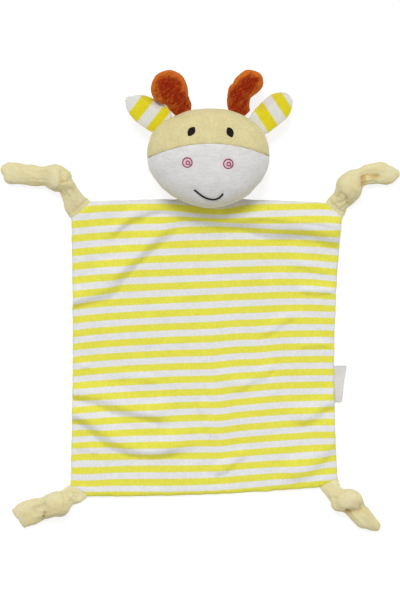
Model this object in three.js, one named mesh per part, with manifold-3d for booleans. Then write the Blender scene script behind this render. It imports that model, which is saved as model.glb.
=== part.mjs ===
// A comfort blanket with a plush calf's head, lying face up on a flat surface.
// Millimetres and degrees. X runs to the right of the face, Y towards the horns, Z up.
// The origin is on the surface, under the middle of the whole toy.

import * as THREE from 'three';
import { mergeVertices } from 'three/addons/utils/BufferGeometryUtils.js';
import Module from 'manifold-3d';

const wasm = await Module();
wasm.setup();

// Cloth, thread and the gaps between neighbours
const clothThickness = 1.6;
const clearance = 0.3;
const hingeClearance = 0.4;
const threadRadius = 0.5;
const flatDepth = 0.5;

// Blanket: its spans are between the middles of the corner seams, the bows are how far each edge swells
const blanketCentre = [5.1, -43.7];
const blanketWidth = 226;
const blanketLength = 249;
const topBow = 2.5;
const bottomBow = 2.5;
const rightBow = -5;
const leftBow = -1.5;
const allowanceWidth = 7;
const allowanceThickness = 1.2;
const allowanceInset = 1.2;

// Main folds: the crest of each, its height and how far its sides reach
const folds = [
  { crest: [[-78, 60], [-44, 79], [18, 72], [68, 68], [112, 62]], height: 3.5, reach: 14 },
  { crest: [[-33, 67], [-60, 40], [-86, 18], [-106, 3]], height: 4.5, reach: 15 },
  { crest: [[-112, -85], [-84, -94], [-58, -101], [-32, -104]], height: 4, reach: 14 },
  { crest: [[-112, -106], [-90, -116], [-60, -134], [-35, -136], [-9, -129]], height: 5, reach: 15 },
  { crest: [[92, -110], [116, -94]], height: 3, reach: 14 },
];
const neckLift = 2.2;
const neckLiftWidth = 40;
const neckLiftLength = 24;

// Label: how far it stands out of the right edge at its two ends
const labelMiddle = -75.5;
const labelLength = 33;
const labelTopReach = 10.5;
const labelBottomReach = 5.9;
const labelThickness = 0.9;

// Limbs: corner is the side of the blanket, skew how far the cloth has slipped there,
// and the outward angle is square to the corner seam
const limbShapes = {
  arm_left: {
    corner: [-1, 1],
    skew: [1, 0],
    outwardAngle: 131.7,
    seamWidth: 23.5,
    neckWidth: 14.7,
    knot: { angle: 128, distance: 34.8, radius: 10.8, width: 25.2 },
    end: { angle: 172.1, reach: 50.8, width: 20.5, thickness: 11, bow: 0, tipReach: 11, tipWidth: 5 },
  },
  arm_right: {
    corner: [1, 1],
    skew: [2.5, 0],
    outwardAngle: 46,
    seamWidth: 20,
    neckWidth: 17,
    knot: { angle: 56, distance: 26.4, radius: 11.3, width: 30 },
    end: { angle: 14.3, reach: 44.7, width: 18.5, thickness: 11, bow: 4.5, tipReach: 14, tipWidth: 4 },
  },
  leg_left: {
    corner: [-1, -1],
    skew: [-1, -3.8],
    outwardAngle: 239,
    seamWidth: 17.9,
    neckWidth: 15,
    knot: { angle: 209.8, distance: 22.9, radius: 11, width: 25 },
    end: { angle: 203.7, reach: 37.5, width: 23.5, thickness: 9, bow: 0, tipReach: 3, tipWidth: 22 },
  },
  leg_right: {
    corner: [1, -1],
    skew: [-2.5, 3.9],
    outwardAngle: 296.4,
    seamWidth: 18.3,
    neckWidth: 16,
    knot: { angle: 315, distance: 22.9, radius: 10.8, width: 28 },
    end: { angle: 321, reach: 37.6, width: 19, thickness: 10, bow: -1.5, tipReach: 15, tipWidth: 6 },
  },
};
const collarThickness = 8;
const collarShare = 0.8;

// Head: width and length are the plan, the depths are from the seam between front and back
const headOffset = 2.7;
const headWidth = 108.6;
const headLength = 89.4;
const headFrontDepth = 32;
const headBackDepth = 24.5;
const headFullness = 2.35;
const chinOverlap = 7.8;
// How much the plan departs from an ellipse, every 30 degrees from the right
const headPlan = [0.986, 1.042, 1.035, 1.01, 1.015, 1.044, 0.983, 0.967, 0.969, 1, 1.004, 0.993];

// Seam across the face, measured from the middle of the head
const browSeamCentre = 5;
const browSeamTop = 13.5;
const browSeamDrop = 11.5;

// Horns and ears: the place angle is measured round the head. An outline gives, at shares of the length,
// the half width and the slip sideways as shares of the width
const hornShapes = {
  horn_left: {
    placeAngle: 118.4,
    outwardAngle: 110.6,
    length: 40.5,
    width: 34,
    thickness: 19,
    rootThickness: 6,
    outline: [[0, 0.26, 0], [0.2, 0.31, -0.01], [0.4, 0.41, -0.06], [0.57, 0.5, -0.14], [0.77, 0.48, -0.13],
      [0.93, 0.33, -0.08], [1, 0, -0.05]],
  },
  horn_right: {
    placeAngle: 56.3,
    outwardAngle: 75.2,
    length: 40.5,
    width: 28,
    thickness: 17,
    rootThickness: 6,
    outline: [[0, 0.34, 0], [0.25, 0.39, -0.1], [0.46, 0.48, -0.12], [0.67, 0.5, 0.01], [0.86, 0.42, 0.1],
      [0.96, 0.26, 0.1], [1, 0, 0.08]],
  },
};
const earShapes = {
  ear_left: { placeAngle: 143.4, outwardAngle: 142.3, length: 37, width: 27, thickness: 5, lean: 0.02 },
  ear_right: { placeAngle: 33, outwardAngle: 38.5, length: 37.5, width: 29, thickness: 5, lean: -0.14 },
};
const earOutline = [[0, 0.46], [0.28, 0.5], [0.5, 0.49], [0.72, 0.41], [0.89, 0.25], [1, 0]];
const earDroop = 5;

// Embroidery, measured from the middle of the head
const eyeShapes = {
  eye_left: { at: [-15.5, 24.2], angle: 61 },
  eye_right: { at: [19.4, 23.7], angle: 116 },
};
const eyeLength = 7.8;
const eyeWidth = 4.8;
const eyeRise = 0.8;
const nostrilShapes = {
  nostril_left: { at: [-19.4, -3.7] },
  nostril_right: { at: [17.5, -4.2] },
};
const nostrilRadius = 3.9;
const nostrilEyeRadius = 1.5;
const smile = [[-13.7, -27.8], [-5, -34.9], [2.7, -37.3], [8.4, -35.7], [12.8, -31.6]];

// Neck seam, which sews the head to the blanket's top edge
const neckSeamWidth = 30;
const neckSeamThickness = 2.8;

// Facets
const blanketColumns = 18;
const blanketSideRows = 15;
const blanketCutRows = 2;
const headSides = 28;
const headRings = 6;
const stuffedSides = 10;
const limbSides = 10;
const knotSides = 12;
const threadSides = 6;

const blanketThickness = 2 * (clothThickness + clearance) + allowanceThickness;
const up = new THREE.Vector3(0, 0, 1);

/** Unit vector in the plan, at an angle from X. */
function heading(angle) {
  const turn = THREE.MathUtils.degToRad(angle);
  return new THREE.Vector3(Math.cos(turn), Math.sin(turn), 0);
}

function mix(a, b, share) {
  return a.clone().lerp(b, share);
}

/** Point reached from a start by steps along given directions. */
function offset(start, ...steps) {
  const point = start.clone();
  for (const [direction, distance] of steps) {
    point.addScaledVector(direction, distance);
  }
  return point;
}

/** Share of the full height at a distance from a crest, smooth and nil past the reach. */
function swell(distance, reach) {
  return Math.max(0, 1 - (distance / reach) ** 2) ** 2;
}

/** Ease from 0 to 1 with flat ends. */
function ease(share) {
  const held = Math.min(1, Math.max(0, share));
  return held * held * (3 - 2 * held);
}

/** Value of a table [share, value, ...] at a share, on a smooth line through its rows. */
function onOutline(outline, share, column) {
  const last = outline.length - 2;
  let row = 0;
  while (row < last && outline[row + 1][0] < share) {
    row += 1;
  }
  const [before, from, to, after] = [-1, 0, 1, 2].map(
    step => outline[Math.min(outline.length - 1, Math.max(0, row + step))]);
  const span = to[0] - from[0];
  const t = (share - from[0]) / span;
  const slope = (a, b) => (b[0] === a[0] ? 0 : (b[column] - a[column]) / (b[0] - a[0]) * span);
  const [m0, m1] = [slope(before, to), slope(from, after)];
  const [p0, p1] = [from[column], to[column]];
  return p0 + m0 * t + (3 * (p1 - p0) - 2 * m0 - m1) * t ** 2 + (m0 + m1 - 2 * (p1 - p0)) * t ** 3;
}

/** Geometry of a closed body, its faces turned outwards. */
function closedBody(points, faces) {
  let volume = 0;
  for (let f = 0; f < faces.length; f += 3) {
    const [a, b, c] = [points[faces[f]], points[faces[f + 1]], points[faces[f + 2]]];
    volume += a.dot(b.clone().cross(c));
  }
  const outward = volume < 0 ? faces.slice().reverse() : faces;
  const geometry = new THREE.BufferGeometry();
  geometry.setAttribute('position', new THREE.Float32BufferAttribute(points.flatMap(p => p.toArray()), 3));
  geometry.setIndex(outward);
  return geometry;
}

/** Faces between each ring of points and the next. */
function bandFaces(rings, closed) {
  const around = rings[0].length;
  const faces = [];
  const bands = closed ? rings.length : rings.length - 1;
  for (let r = 0; r < bands; r++) {
    const here = r * around;
    const next = ((r + 1) % rings.length) * around;
    for (let k = 0; k < around; k++) {
      const beside = (k + 1) % around;
      faces.push(here + k, here + beside, next + k);
      faces.push(here + beside, next + beside, next + k);
    }
  }
  return faces;
}

/** Closed body over a run of rings; each end is a fan about a given point or the ring's own middle. */
function skin(rings, firstPoint, lastPoint) {
  const points = rings.flat();
  const faces = bandFaces(rings, false);
  const around = rings[0].length;
  const middle = ring => ring.reduce((sum, p) => sum.add(p), new THREE.Vector3()).divideScalar(around);
  const first = points.push(firstPoint ?? middle(rings[0])) - 1;
  const last = points.push(lastPoint ?? middle(rings.at(-1))) - 1;
  const lastStart = (rings.length - 1) * around;
  for (let k = 0; k < around; k++) {
    const beside = (k + 1) % around;
    faces.push(first, beside, k);
    faces.push(last, lastStart + k, lastStart + beside);
  }
  return closedBody(points, faces);
}

/** Closed body over rings that come back to the first. */
function loopSkin(rings) {
  return closedBody(rings.flat(), bandFaces(rings, true));
}

/** Rounded ring of points about a centre, never lower than the surface the toy lies on. */
function roundRing(centre, across, halfWidth, halfHeight, sides, boxiness = 0.85) {
  const ring = [];
  for (let k = 0; k < sides; k++) {
    const turn = (2 * Math.PI * (k + 0.5)) / sides;
    const side = Math.sign(Math.cos(turn)) * Math.abs(Math.cos(turn)) ** boxiness * halfWidth;
    const rise = Math.sign(Math.sin(turn)) * Math.abs(Math.sin(turn)) ** boxiness * halfHeight;
    const point = offset(centre, [across, side], [up, rise]);
    point.z = Math.max(0, point.z);
    ring.push(point);
  }
  return ring;
}

/** Thread of round section along a run of points. */
function thread(path, radius) {
  const rings = path.map((point, k) => {
    const along = path[Math.min(k + 1, path.length - 1)].clone().sub(path[Math.max(k - 1, 0)]).normalize();
    const across = along.clone().cross(up).normalize();
    const over = across.clone().cross(along);
    const ring = [];
    for (let s = 0; s < threadSides; s++) {
      const turn = (2 * Math.PI * s) / threadSides;
      ring.push(offset(point, [across, Math.cos(turn) * radius], [over, Math.sin(turn) * radius]));
    }
    return ring;
  });
  return skin(rings);
}

/** Slab between two fields of points with equal rows and columns. */
function slab(lower, upper) {
  const [rows, columns] = [lower.length, lower[0].length];
  const points = [...lower.flat(), ...upper.flat()];
  const top = rows * columns;
  const faces = [];
  const quad = (a, b, c, d) => faces.push(a, b, c, a, c, d);
  for (let r = 0; r + 1 < rows; r++) {
    for (let c = 0; c + 1 < columns; c++) {
      const [a, b] = [r * columns + c, r * columns + c + 1];
      const [d, e] = [a + columns, b + columns];
      quad(top + a, top + b, top + e, top + d);
      quad(a, d, e, b);
    }
  }
  const rim = rimOf(rows, columns);
  rim.forEach((a, k) => {
    const b = rim[(k + 1) % rim.length];
    quad(a, b, top + b, top + a);
  });
  return closedBody(points, faces);
}

/** Indices round the edge of a field of points, counter-clockwise from the bottom left. */
function rimOf(rows, columns) {
  const rim = [];
  for (let c = 0; c < columns - 1; c++) {
    rim.push(c);
  }
  for (let r = 0; r < rows - 1; r++) {
    rim.push(r * columns + columns - 1);
  }
  for (let c = columns - 1; c > 0; c--) {
    rim.push((rows - 1) * columns + c);
  }
  for (let r = rows - 1; r > 0; r--) {
    rim.push(r * columns);
  }
  return rim;
}

/** Solid for joining and cutting. */
function toSolid(geometry) {
  const bare = geometry.clone();
  bare.deleteAttribute('normal');
  bare.deleteAttribute('uv');
  const merged = mergeVertices(bare);
  return new wasm.Manifold(new wasm.Mesh({
    numProp: 3,
    vertProperties: new Float32Array(merged.attributes.position.array),
    triVerts: new Uint32Array(merged.index.array),
  }));
}

function toGeometry(solid) {
  const mesh = solid.getMesh();
  const geometry = new THREE.BufferGeometry();
  geometry.setAttribute('position', new THREE.BufferAttribute(new Float32Array(mesh.vertProperties), 3));
  geometry.setIndex(new THREE.BufferAttribute(new Uint32Array(mesh.triVerts), 1));
  return geometry;
}

// Corner seams

/** Ends and directions of a limb's corner seam, running clockwise round the blanket. */
function cornerSeam({ corner, skew, outwardAngle, seamWidth }) {
  const middle = new THREE.Vector3(
    blanketCentre[0] + (corner[0] * blanketWidth) / 2 + skew[0],
    blanketCentre[1] + (corner[1] * blanketLength) / 2 + skew[1],
    0);
  const out = heading(outwardAngle);
  const along = heading(outwardAngle - 90);
  return {
    middle,
    out,
    along,
    start: offset(middle, [along, -seamWidth / 2]),
    finish: offset(middle, [along, seamWidth / 2]),
  };
}

const seams = Object.fromEntries(Object.entries(limbShapes).map(([name, shape]) => [name, cornerSeam(shape)]));

// Blanket

function bow(share, amount) {
  return 4 * share * (1 - share) * amount;
}

/** Left and right end of each row of the blanket, from the bottom edge to the top edge. */
function rowEnds() {
  const { arm_left, arm_right, leg_left, leg_right } = seams;
  const ends = [];
  for (let k = 0; k < blanketCutRows; k++) {
    const share = k / blanketCutRows;
    ends.push([mix(leg_left.start, leg_left.finish, share), mix(leg_right.finish, leg_right.start, share)]);
  }
  for (let k = 0; k < blanketSideRows; k++) {
    const share = k / blanketSideRows;
    const left = mix(leg_left.finish, arm_left.start, share);
    const right = mix(leg_right.start, arm_right.finish, share);
    left.x -= bow(share, leftBow);
    right.x += bow(share, rightBow);
    ends.push([left, right]);
  }
  for (let k = 0; k <= blanketCutRows; k++) {
    const share = k / blanketCutRows;
    ends.push([mix(arm_left.start, arm_left.finish, share), mix(arm_right.finish, arm_right.start, share)]);
  }
  return ends;
}

/** Plan of the blanket as rows of points. */
function blanketPlan() {
  const ends = rowEnds();
  return ends.map(([left, right], r) => {
    const height = r / (ends.length - 1);
    const row = [];
    for (let c = 0; c <= blanketColumns; c++) {
      const share = c / blanketColumns;
      const point = mix(left, right, share);
      point.y += bow(share, topBow * height ** 3 - bottomBow * (1 - height) ** 3);
      row.push(point);
    }
    return row;
  });
}

/** Height of the blanket's top edge in the plan, at a place along X. */
function topEdge(x) {
  const { arm_left, arm_right } = seams;
  const share = (x - arm_left.finish.x) / (arm_right.start.x - arm_left.finish.x);
  return mix(arm_left.finish, arm_right.start, share).y + bow(share, topBow);
}

/** Distance in the plan from a point to a line of crest points. */
function distanceToCrest(x, y, crest) {
  const point = new THREE.Vector3(x, y, 0);
  const nearest = new THREE.Vector3();
  let distance = Infinity;
  for (let k = 0; k + 1 < crest.length; k++) {
    const run = new THREE.Line3(new THREE.Vector3(...crest[k], 0), new THREE.Vector3(...crest[k + 1], 0));
    run.closestPointToPoint(point, true, nearest);
    distance = Math.min(distance, nearest.distanceTo(point));
  }
  return distance;
}

const neckX = blanketCentre[0] + headOffset;
const neckY = topEdge(neckX);

/** How far the cloth is lifted off the surface by its folds and by the head's seam. */
function lift(x, y) {
  const fromNeck = Math.hypot((x - neckX) / neckLiftWidth, (y - neckY) / neckLiftLength);
  const lifts = folds.map(({ crest, height, reach }) => height * swell(distanceToCrest(x, y, crest), reach));
  return Math.max(neckLift * swell(fromNeck, 1), ...lifts);
}

function raised(rows, height) {
  return rows.map(row => row.map(p => new THREE.Vector3(p.x, p.y, lift(p.x, p.y) + height)));
}

function panel(height) {
  const plan = blanketPlan();
  return slab(raised(plan, height), raised(plan, height + clothThickness));
}

/** Band of turned-in cloth that follows the blanket's edge between its two panels. */
function edgeSeam() {
  const plan = blanketPlan();
  const points = plan.flat();
  const rim = rimOf(plan.length, plan[0].length).map(k => points[k]);
  const top = blanketThickness + Math.max(neckLift, ...folds.map(fold => fold.height)) + clearance;
  const rings = rim.map((point, k) => {
    const before = rim[(k + rim.length - 1) % rim.length];
    const after = rim[(k + 1) % rim.length];
    const inward = up.clone().cross(after.clone().sub(before)).normalize();
    const outer = offset(point, [inward, allowanceInset]);
    const inner = offset(outer, [inward, allowanceWidth]);
    const section = [[outer, -clearance], [inner, -clearance], [inner, top], [outer, top]];
    return section.map(([place, height]) => offset(place, [up, height]));
  });
  const low = clothThickness + clearance;
  const layer = slab(raised(plan, low), raised(plan, low + allowanceThickness));
  return toSolid(layer).intersect(toSolid(loopSkin(rings)));
}

/** Where the label meets the right edge: its middle and the direction along the edge. */
function labelSeat() {
  const { arm_right, leg_right } = seams;
  const [low, high] = [leg_right.start, arm_right.finish];
  const edgeAt = y => {
    const share = (y - low.y) / (high.y - low.y);
    const point = mix(low, high, share);
    point.x += bow(share, rightBow);
    return point;
  };
  const from = edgeAt(labelMiddle - labelLength / 2);
  const to = edgeAt(labelMiddle + labelLength / 2);
  const along = to.clone().sub(from).normalize();
  const out = along.clone().cross(up);
  const middle = edgeAt(labelMiddle);
  const root = offset(middle, [out, clearance + labelThickness / 2], [up, blanketThickness / 2]);
  return { root, along, out };
}

/** Folded label, pressed flat, with a rounded root and a rounded fold. */
function label() {
  const { root, along, out } = labelSeat();
  const half = labelThickness / 2;
  const section = (place, reach) => [
    [-half * 0.7, -half * 0.7], [0, -half], [reach - half, -half], [reach, 0],
    [reach - half, half], [0, half], [-half * 0.7, half * 0.7],
  ].map(([outwards, rise]) => offset(root, [along, place], [out, outwards], [up, rise]));
  return skin([section(-labelLength / 2, labelBottomReach), section(labelLength / 2, labelTopReach)]);
}

// Limbs

/** Places and directions of one limb: its hinge at the corner seam, its knot and its free end. */
function limbFrame(name) {
  const shape = limbShapes[name];
  const seam = seams[name];
  const rootRadius = blanketThickness / 2;
  const root = offset(seam.middle, [seam.out, clearance + rootRadius], [up, rootRadius]);
  const knot = offset(seam.middle, [heading(shape.knot.angle), shape.knot.distance],
    [up, shape.knot.radius - flatDepth]);
  return { shape, seam, rootRadius, root, knot };
}

/** The body of a knot, round about the line that its free end turns on. */
function knotCore({ shape, knot }, gap) {
  const { radius, width } = shape.knot;
  const core = new THREE.SphereGeometry(1, knotSides, knotSides / 2);
  core.scale(radius + gap, width / 2 + gap, radius + gap);
  core.rotateZ(THREE.MathUtils.degToRad(shape.end.angle));
  core.translate(knot.x, knot.y, knot.z);
  return toSolid(core);
}

/** The turn of cloth that wraps the knot where the sleeve goes in. */
function knotCollar({ shape, root, knot }, gap) {
  const { radius, width } = shape.knot;
  const thick = collarThickness / 2 + gap;
  const back = root.clone().sub(knot).setZ(0).normalize();
  const side = back.clone().cross(up);
  const centre = offset(knot, [back, radius * 0.45]);
  const rings = [];
  for (let k = 0; k < knotSides; k++) {
    const turn = (2 * Math.PI * k) / knotSides;
    const radial = offset(new THREE.Vector3(), [side, Math.cos(turn)], [up, Math.sin(turn)]);
    const sideReach = ((width * collarShare) - collarThickness) / 2;
    const topReach = radius - collarThickness / 2;
    const reach = sideReach * Math.cos(turn) ** 2 + topReach * Math.sin(turn) ** 2;
    const ring = [];
    for (let s = 0; s < threadSides; s++) {
      const about = (2 * Math.PI * s) / threadSides;
      ring.push(offset(centre, [radial, reach + Math.cos(about) * thick], [back, Math.sin(about) * thick]));
    }
    rings.push(ring);
  }
  return toSolid(loopSkin(rings));
}

/** Block that holds everything above the surface the toy lies on. */
function aboveSurface(centre) {
  const size = 200;
  const block = new THREE.BoxGeometry(size, size, size);
  block.translate(centre.x, centre.y, size / 2);
  return toSolid(block);
}

function knot(frame, gap = 0) {
  return knotCore(frame, gap).add(knotCollar(frame, gap));
}

/** Sleeve from the corner seam into the knot, cut clear of the knot. */
function sleeve(frame) {
  const { shape, seam, rootRadius, root, knot: centre } = frame;
  const reach = root.distanceTo(centre);
  const path = new THREE.QuadraticBezierCurve3(root, offset(root, [seam.out, reach * 0.28]), centre);
  const rings = [25, 60].map(angle => {
    const turn = THREE.MathUtils.degToRad(angle);
    const back = offset(root, [seam.out, -rootRadius * Math.cos(turn)]);
    return roundRing(back, seam.along, shape.seamWidth / 2, rootRadius * Math.sin(turn), limbSides, 0.5);
  });
  const steps = 5;
  for (let k = 0; k <= steps; k++) {
    const share = k / steps;
    const point = path.getPoint(share);
    const side = path.getTangent(share).cross(up).setZ(0).normalize();
    const across = mix(seam.along, side, ease(share)).normalize();
    const halfWidth = THREE.MathUtils.lerp(shape.seamWidth, shape.neckWidth, ease(share * 1.9)) / 2;
    const halfHeight = THREE.MathUtils.lerp(rootRadius, shape.neckWidth * 0.36, ease(share * 1.6 - 0.35));
    rings.push(roundRing(point, across, halfWidth, Math.min(halfHeight, point.z), limbSides, 0.5 + 0.4 * share));
  }
  return toSolid(skin(rings)).subtract(knot(frame, clearance));
}

/** Free end past the knot, cut so that it can turn about the knot's middle. */
function freeEnd(frame) {
  const { shape, knot: centre } = frame;
  const { reach, width, thickness, tipReach, tipWidth } = shape.end;
  const out = heading(shape.end.angle);
  const side = heading(shape.end.angle - 90);
  const tipStart = 1 - tipReach / reach;
  const shares = [0.1, 0.25, 0.4, 0.6].filter(share => share < tipStart);
  const rings = [...shares, tipStart].map(share => ({ share, round: 1 }));
  for (const turn of [35, 60, 80]) {
    const past = Math.sin(THREE.MathUtils.degToRad(turn));
    rings.push({ share: tipStart + past * (1 - tipStart), round: Math.sqrt(1 - past ** 2) });
  }
  const lowered = thickness / 2 - flatDepth;
  const at = share => {
    const height = THREE.MathUtils.lerp(centre.z, lowered, ease(share * 1.6));
    const point = offset(centre, [out, reach * share], [side, -bow(share, shape.end.bow)]);
    return point.setZ(height);
  };
  const body = rings.map(({ share, round }) => {
    const halfWidth = (tipWidth + (width - tipWidth) * round) / 2 * (0.86 + 0.14 * ease(share * 2.5));
    const halfHeight = (thickness / 2) * (0.25 + 0.75 * round);
    return roundRing(at(share), side, halfWidth, halfHeight, limbSides);
  });
  return toSolid(skin(body, undefined, at(1))).subtract(knotCore(frame, hingeClearance));
}

// Head

const headCentre = new THREE.Vector3(neckX, neckY - chinOverlap + headLength / 2, headBackDepth - flatDepth);

/** Distance from the middle of the head to its outline, at an angle in radians. */
function headRadius(angle) {
  const [a, b] = [headWidth / 2, headLength / 2];
  const ellipse = (a * b) / Math.hypot(b * Math.cos(angle), a * Math.sin(angle));
  const count = headPlan.length;
  const place = (((angle / (2 * Math.PI)) * count) % count + count) % count;
  const from = Math.floor(place);
  const factor = THREE.MathUtils.lerp(headPlan[from], headPlan[(from + 1) % count], ease(place - from));
  return ellipse * factor;
}

/** Point of the head's front (side 1) or back (side -1), at an angle round it and a climb to its crown. */
function headPoint(angle, climb, side, inset) {
  const depth = side > 0 ? headFrontDepth : headBackDepth;
  const out = (headRadius(angle) - inset) * Math.cos(climb) ** (2 / headFullness);
  const rise = (depth - inset) * Math.sin(climb) ** (2 / headFullness);
  const point = new THREE.Vector3(Math.cos(angle) * out, Math.sin(angle) * out, side * rise);
  point.add(headCentre);
  point.z = Math.max(side < 0 ? inset : 0, point.z);
  return point;
}

function headRing(climb, side, inset, rim = 0) {
  const ring = [];
  for (let k = 0; k < headSides; k++) {
    const point = headPoint((2 * Math.PI * k) / headSides, climb, side, inset);
    point.z += side * rim;
    ring.push(point);
  }
  return ring;
}

/** Rings of one half of the head, from beside its crown to its rim. */
function headHalf(side, inset) {
  const rings = [];
  for (let k = headRings - 1; k >= 0; k--) {
    rings.push(headRing((Math.PI / 2) * (k / headRings), side, inset, k === 0 ? clearance / 2 : 0));
  }
  return rings;
}

/** Bowl of cloth over the head's front or back. */
function headShell(side) {
  const outer = headHalf(side, 0);
  const inner = headHalf(side, clothThickness).reverse();
  const crown = Math.PI / 2;
  return skin([...outer, ...inner], headPoint(0, crown, side, 0), headPoint(0, crown, side, clothThickness));
}

function headStuffing() {
  const inset = clothThickness + clearance;
  const front = headHalf(1, inset);
  const back = headHalf(-1, inset).reverse();
  const crown = Math.PI / 2;
  return skin([...front, ...back], headPoint(0, crown, 1, inset), headPoint(0, crown, -1, inset));
}

/** Height of the head's surface over a place in the plan. */
function headSurface(x, y, side = 1) {
  const [dx, dy] = [x - headCentre.x, y - headCentre.y];
  const share = Math.min(1, Math.hypot(dx, dy) / headRadius(Math.atan2(dy, dx)));
  const depth = side > 0 ? headFrontDepth : headBackDepth;
  return headCentre.z + side * depth * (1 - share ** headFullness) ** (1 / headFullness);
}

/** Block over the part of the face above (side 1) or below (side -1) the seam across it. */
function faceBlock(side) {
  const [left, right] = [-headWidth, headWidth].map(x => headCentre.x + x);
  const seam = headCentre.x + browSeamCentre;
  const line = [];
  for (let k = 0; k <= 12; k++) {
    const x = THREE.MathUtils.lerp(headCentre.x - headWidth / 2 - 2, headCentre.x + headWidth / 2 + 2, k / 12);
    const drop = browSeamDrop * ((x - seam) / (headWidth / 2)) ** 2;
    line.push(new THREE.Vector2(x, headCentre.y + browSeamTop - drop + (side * clearance) / 2));
  }
  const far = headCentre.y + side * headLength;
  const outline = [new THREE.Vector2(left, far), new THREE.Vector2(left, line[0].y), ...line,
    new THREE.Vector2(right, line.at(-1).y), new THREE.Vector2(right, far)];
  const block = new THREE.ExtrudeGeometry(new THREE.Shape(outline), { depth: 2 * headWidth, bevelEnabled: false });
  return toSolid(block);
}

/** Where something sewn into the head's rim sits: the middle of its root, just clear of the outline. */
function rimSeat({ placeAngle, outwardAngle, rootHalfWidth, rootRadius }) {
  const angle = THREE.MathUtils.degToRad(placeAngle);
  const base = offset(headCentre, [heading(placeAngle), headRadius(angle)]);
  const out = heading(outwardAngle);
  const side = heading(outwardAngle - 90);
  let furthest = 0;
  for (let k = 0; k < 360; k++) {
    const turn = THREE.MathUtils.degToRad(k);
    const point = offset(headCentre, [heading(k), headRadius(turn)]).sub(base);
    if (Math.abs(point.dot(side)) <= rootHalfWidth) {
      furthest = Math.max(furthest, point.dot(out));
    }
  }
  return { root: offset(base, [out, furthest + clearance + rootRadius]), out, side };
}

// Horns

function hornFrame(shape) {
  const rootHalfWidth = shape.outline[0][1] * shape.width;
  const rootRadius = shape.rootThickness / 2;
  return { shape, rootRadius, ...rimSeat({ ...shape, rootHalfWidth, rootRadius }) };
}

/** Rings of a horn from its root to beside its tip, drawn in by an inset. */
function hornRings({ shape, rootRadius, root, out, side }, inset) {
  const rings = [];
  const add = (along, share, flattening) => {
    const round = Math.sqrt(Math.max(0, 1 - share ** 6));
    const halfWidth = shape.width * onOutline(shape.outline, share, 1) - inset;
    const thick = THREE.MathUtils.lerp(rootRadius, shape.thickness / 2, ease(share * 1.7)) * round * flattening;
    const slip = shape.width * onOutline(shape.outline, share, 2);
    const centre = offset(root, [out, along], [side, slip]);
    const halfHeight = Math.max(threadRadius, thick - inset);
    rings.push(roundRing(centre, side, Math.max(threadRadius, halfWidth), halfHeight, stuffedSides, 1));
  };
  for (const angle of [35, 62]) {
    const turn = THREE.MathUtils.degToRad(angle);
    add(-rootRadius * Math.cos(turn), 0, Math.sin(turn));
  }
  const inner = shape.length - rootRadius - inset;
  for (const share of [0, 0.2, 0.4, 0.57, 0.77, 0.91, 0.97]) {
    add(inner * share, share, 1);
  }
  return rings;
}

function hornTip({ shape, rootRadius, root, out, side }, inset) {
  const slip = shape.width * shape.outline.at(-1)[2];
  return offset(root, [out, shape.length - rootRadius - inset], [side, slip]);
}

/** Cover of a horn, open at its root. */
function hornCover(frame) {
  const outer = hornRings(frame, 0).reverse();
  const inner = hornRings(frame, clothThickness);
  return skin([...outer, ...inner], hornTip(frame, 0), hornTip(frame, clothThickness));
}

function hornStuffing(frame) {
  const inset = clothThickness + clearance;
  const rings = hornRings(frame, inset).slice(2);
  return skin(rings, undefined, hornTip(frame, inset));
}

// Ears

function earFrame(shape) {
  const rootHalfWidth = earOutline[0][1] * shape.width;
  const rootRadius = shape.thickness / 2;
  return { shape, rootRadius, ...rimSeat({ ...shape, rootHalfWidth, rootRadius }) };
}

/** Front (facing 1) or back (facing -1) panel of an ear, which droops towards its tip. */
function earPanel({ shape, rootRadius, root, out, side }, facing) {
  const length = shape.length - rootRadius;
  const gap = (facing * clearance) / 2;
  const rings = [];
  const centreAt = (along, share) => offset(
    root, [out, along], [side, shape.width * shape.lean * share], [up, gap - earDroop * share ** 2]);
  const add = (along, share, flattening) => {
    const halfWidth = shape.width * onOutline(earOutline, share, 1);
    const puff = (rootRadius - clearance / 2) * flattening * Math.sqrt(1 - share ** 4);
    const ring = [];
    for (let k = 0; k <= 5; k++) {
      const turn = (Math.PI * k) / 5;
      ring.push(offset(centreAt(along, share), [side, halfWidth * Math.cos(turn)],
        [up, facing * puff * Math.sin(turn) ** 0.7]));
    }
    rings.push(ring);
  };
  for (const angle of [30, 60]) {
    const turn = THREE.MathUtils.degToRad(angle);
    add(-rootRadius * Math.cos(turn), 0, Math.sin(turn));
  }
  for (const share of [0, 0.28, 0.5, 0.72, 0.87, 0.96]) {
    add(length * share, share, 1);
  }
  return skin(rings, undefined, centreAt(length, 1));
}

// Embroidery

/** Patch of stitching that lies on the face. */
function facePatch(outline, rise) {
  const ring = (height, share) => outline.map(([x, y]) => {
    const place = offset(headCentre, [heading(0), x * share[0] + share[1]], [heading(90), y * share[0] + share[2]]);
    return place.setZ(headSurface(place.x, place.y) + height);
  });
  const count = outline.length;
  const middle = outline.reduce((sum, p) => [sum[0] + p[0] / count, sum[1] + p[1] / count], [0, 0]);
  const shrunk = share => [share, middle[0] * (1 - share), middle[1] * (1 - share)];
  return skin([ring(threadRadius * 0.4, shrunk(1)), ring(rise * 0.7, shrunk(1)), ring(rise, shrunk(0.7))]);
}

/** Pointed oval eye. */
function eye({ at, angle }) {
  const along = heading(angle);
  const across = heading(angle - 90);
  const outline = [];
  for (let k = 0; k < 12; k++) {
    const turn = (2 * Math.PI * k) / 12;
    const point = offset(new THREE.Vector3(at[0], at[1], 0), [along, (Math.cos(turn) * eyeLength) / 2],
      [across, (Math.sin(turn) * Math.abs(Math.sin(turn)) ** 0.3 * eyeWidth) / 2]);
    outline.push([point.x, point.y]);
  }
  return facePatch(outline, eyeRise);
}

function onFace([x, y]) {
  const place = offset(headCentre, [heading(0), x], [heading(90), y]);
  return place.setZ(headSurface(place.x, place.y) + threadRadius * 1.2);
}

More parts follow.
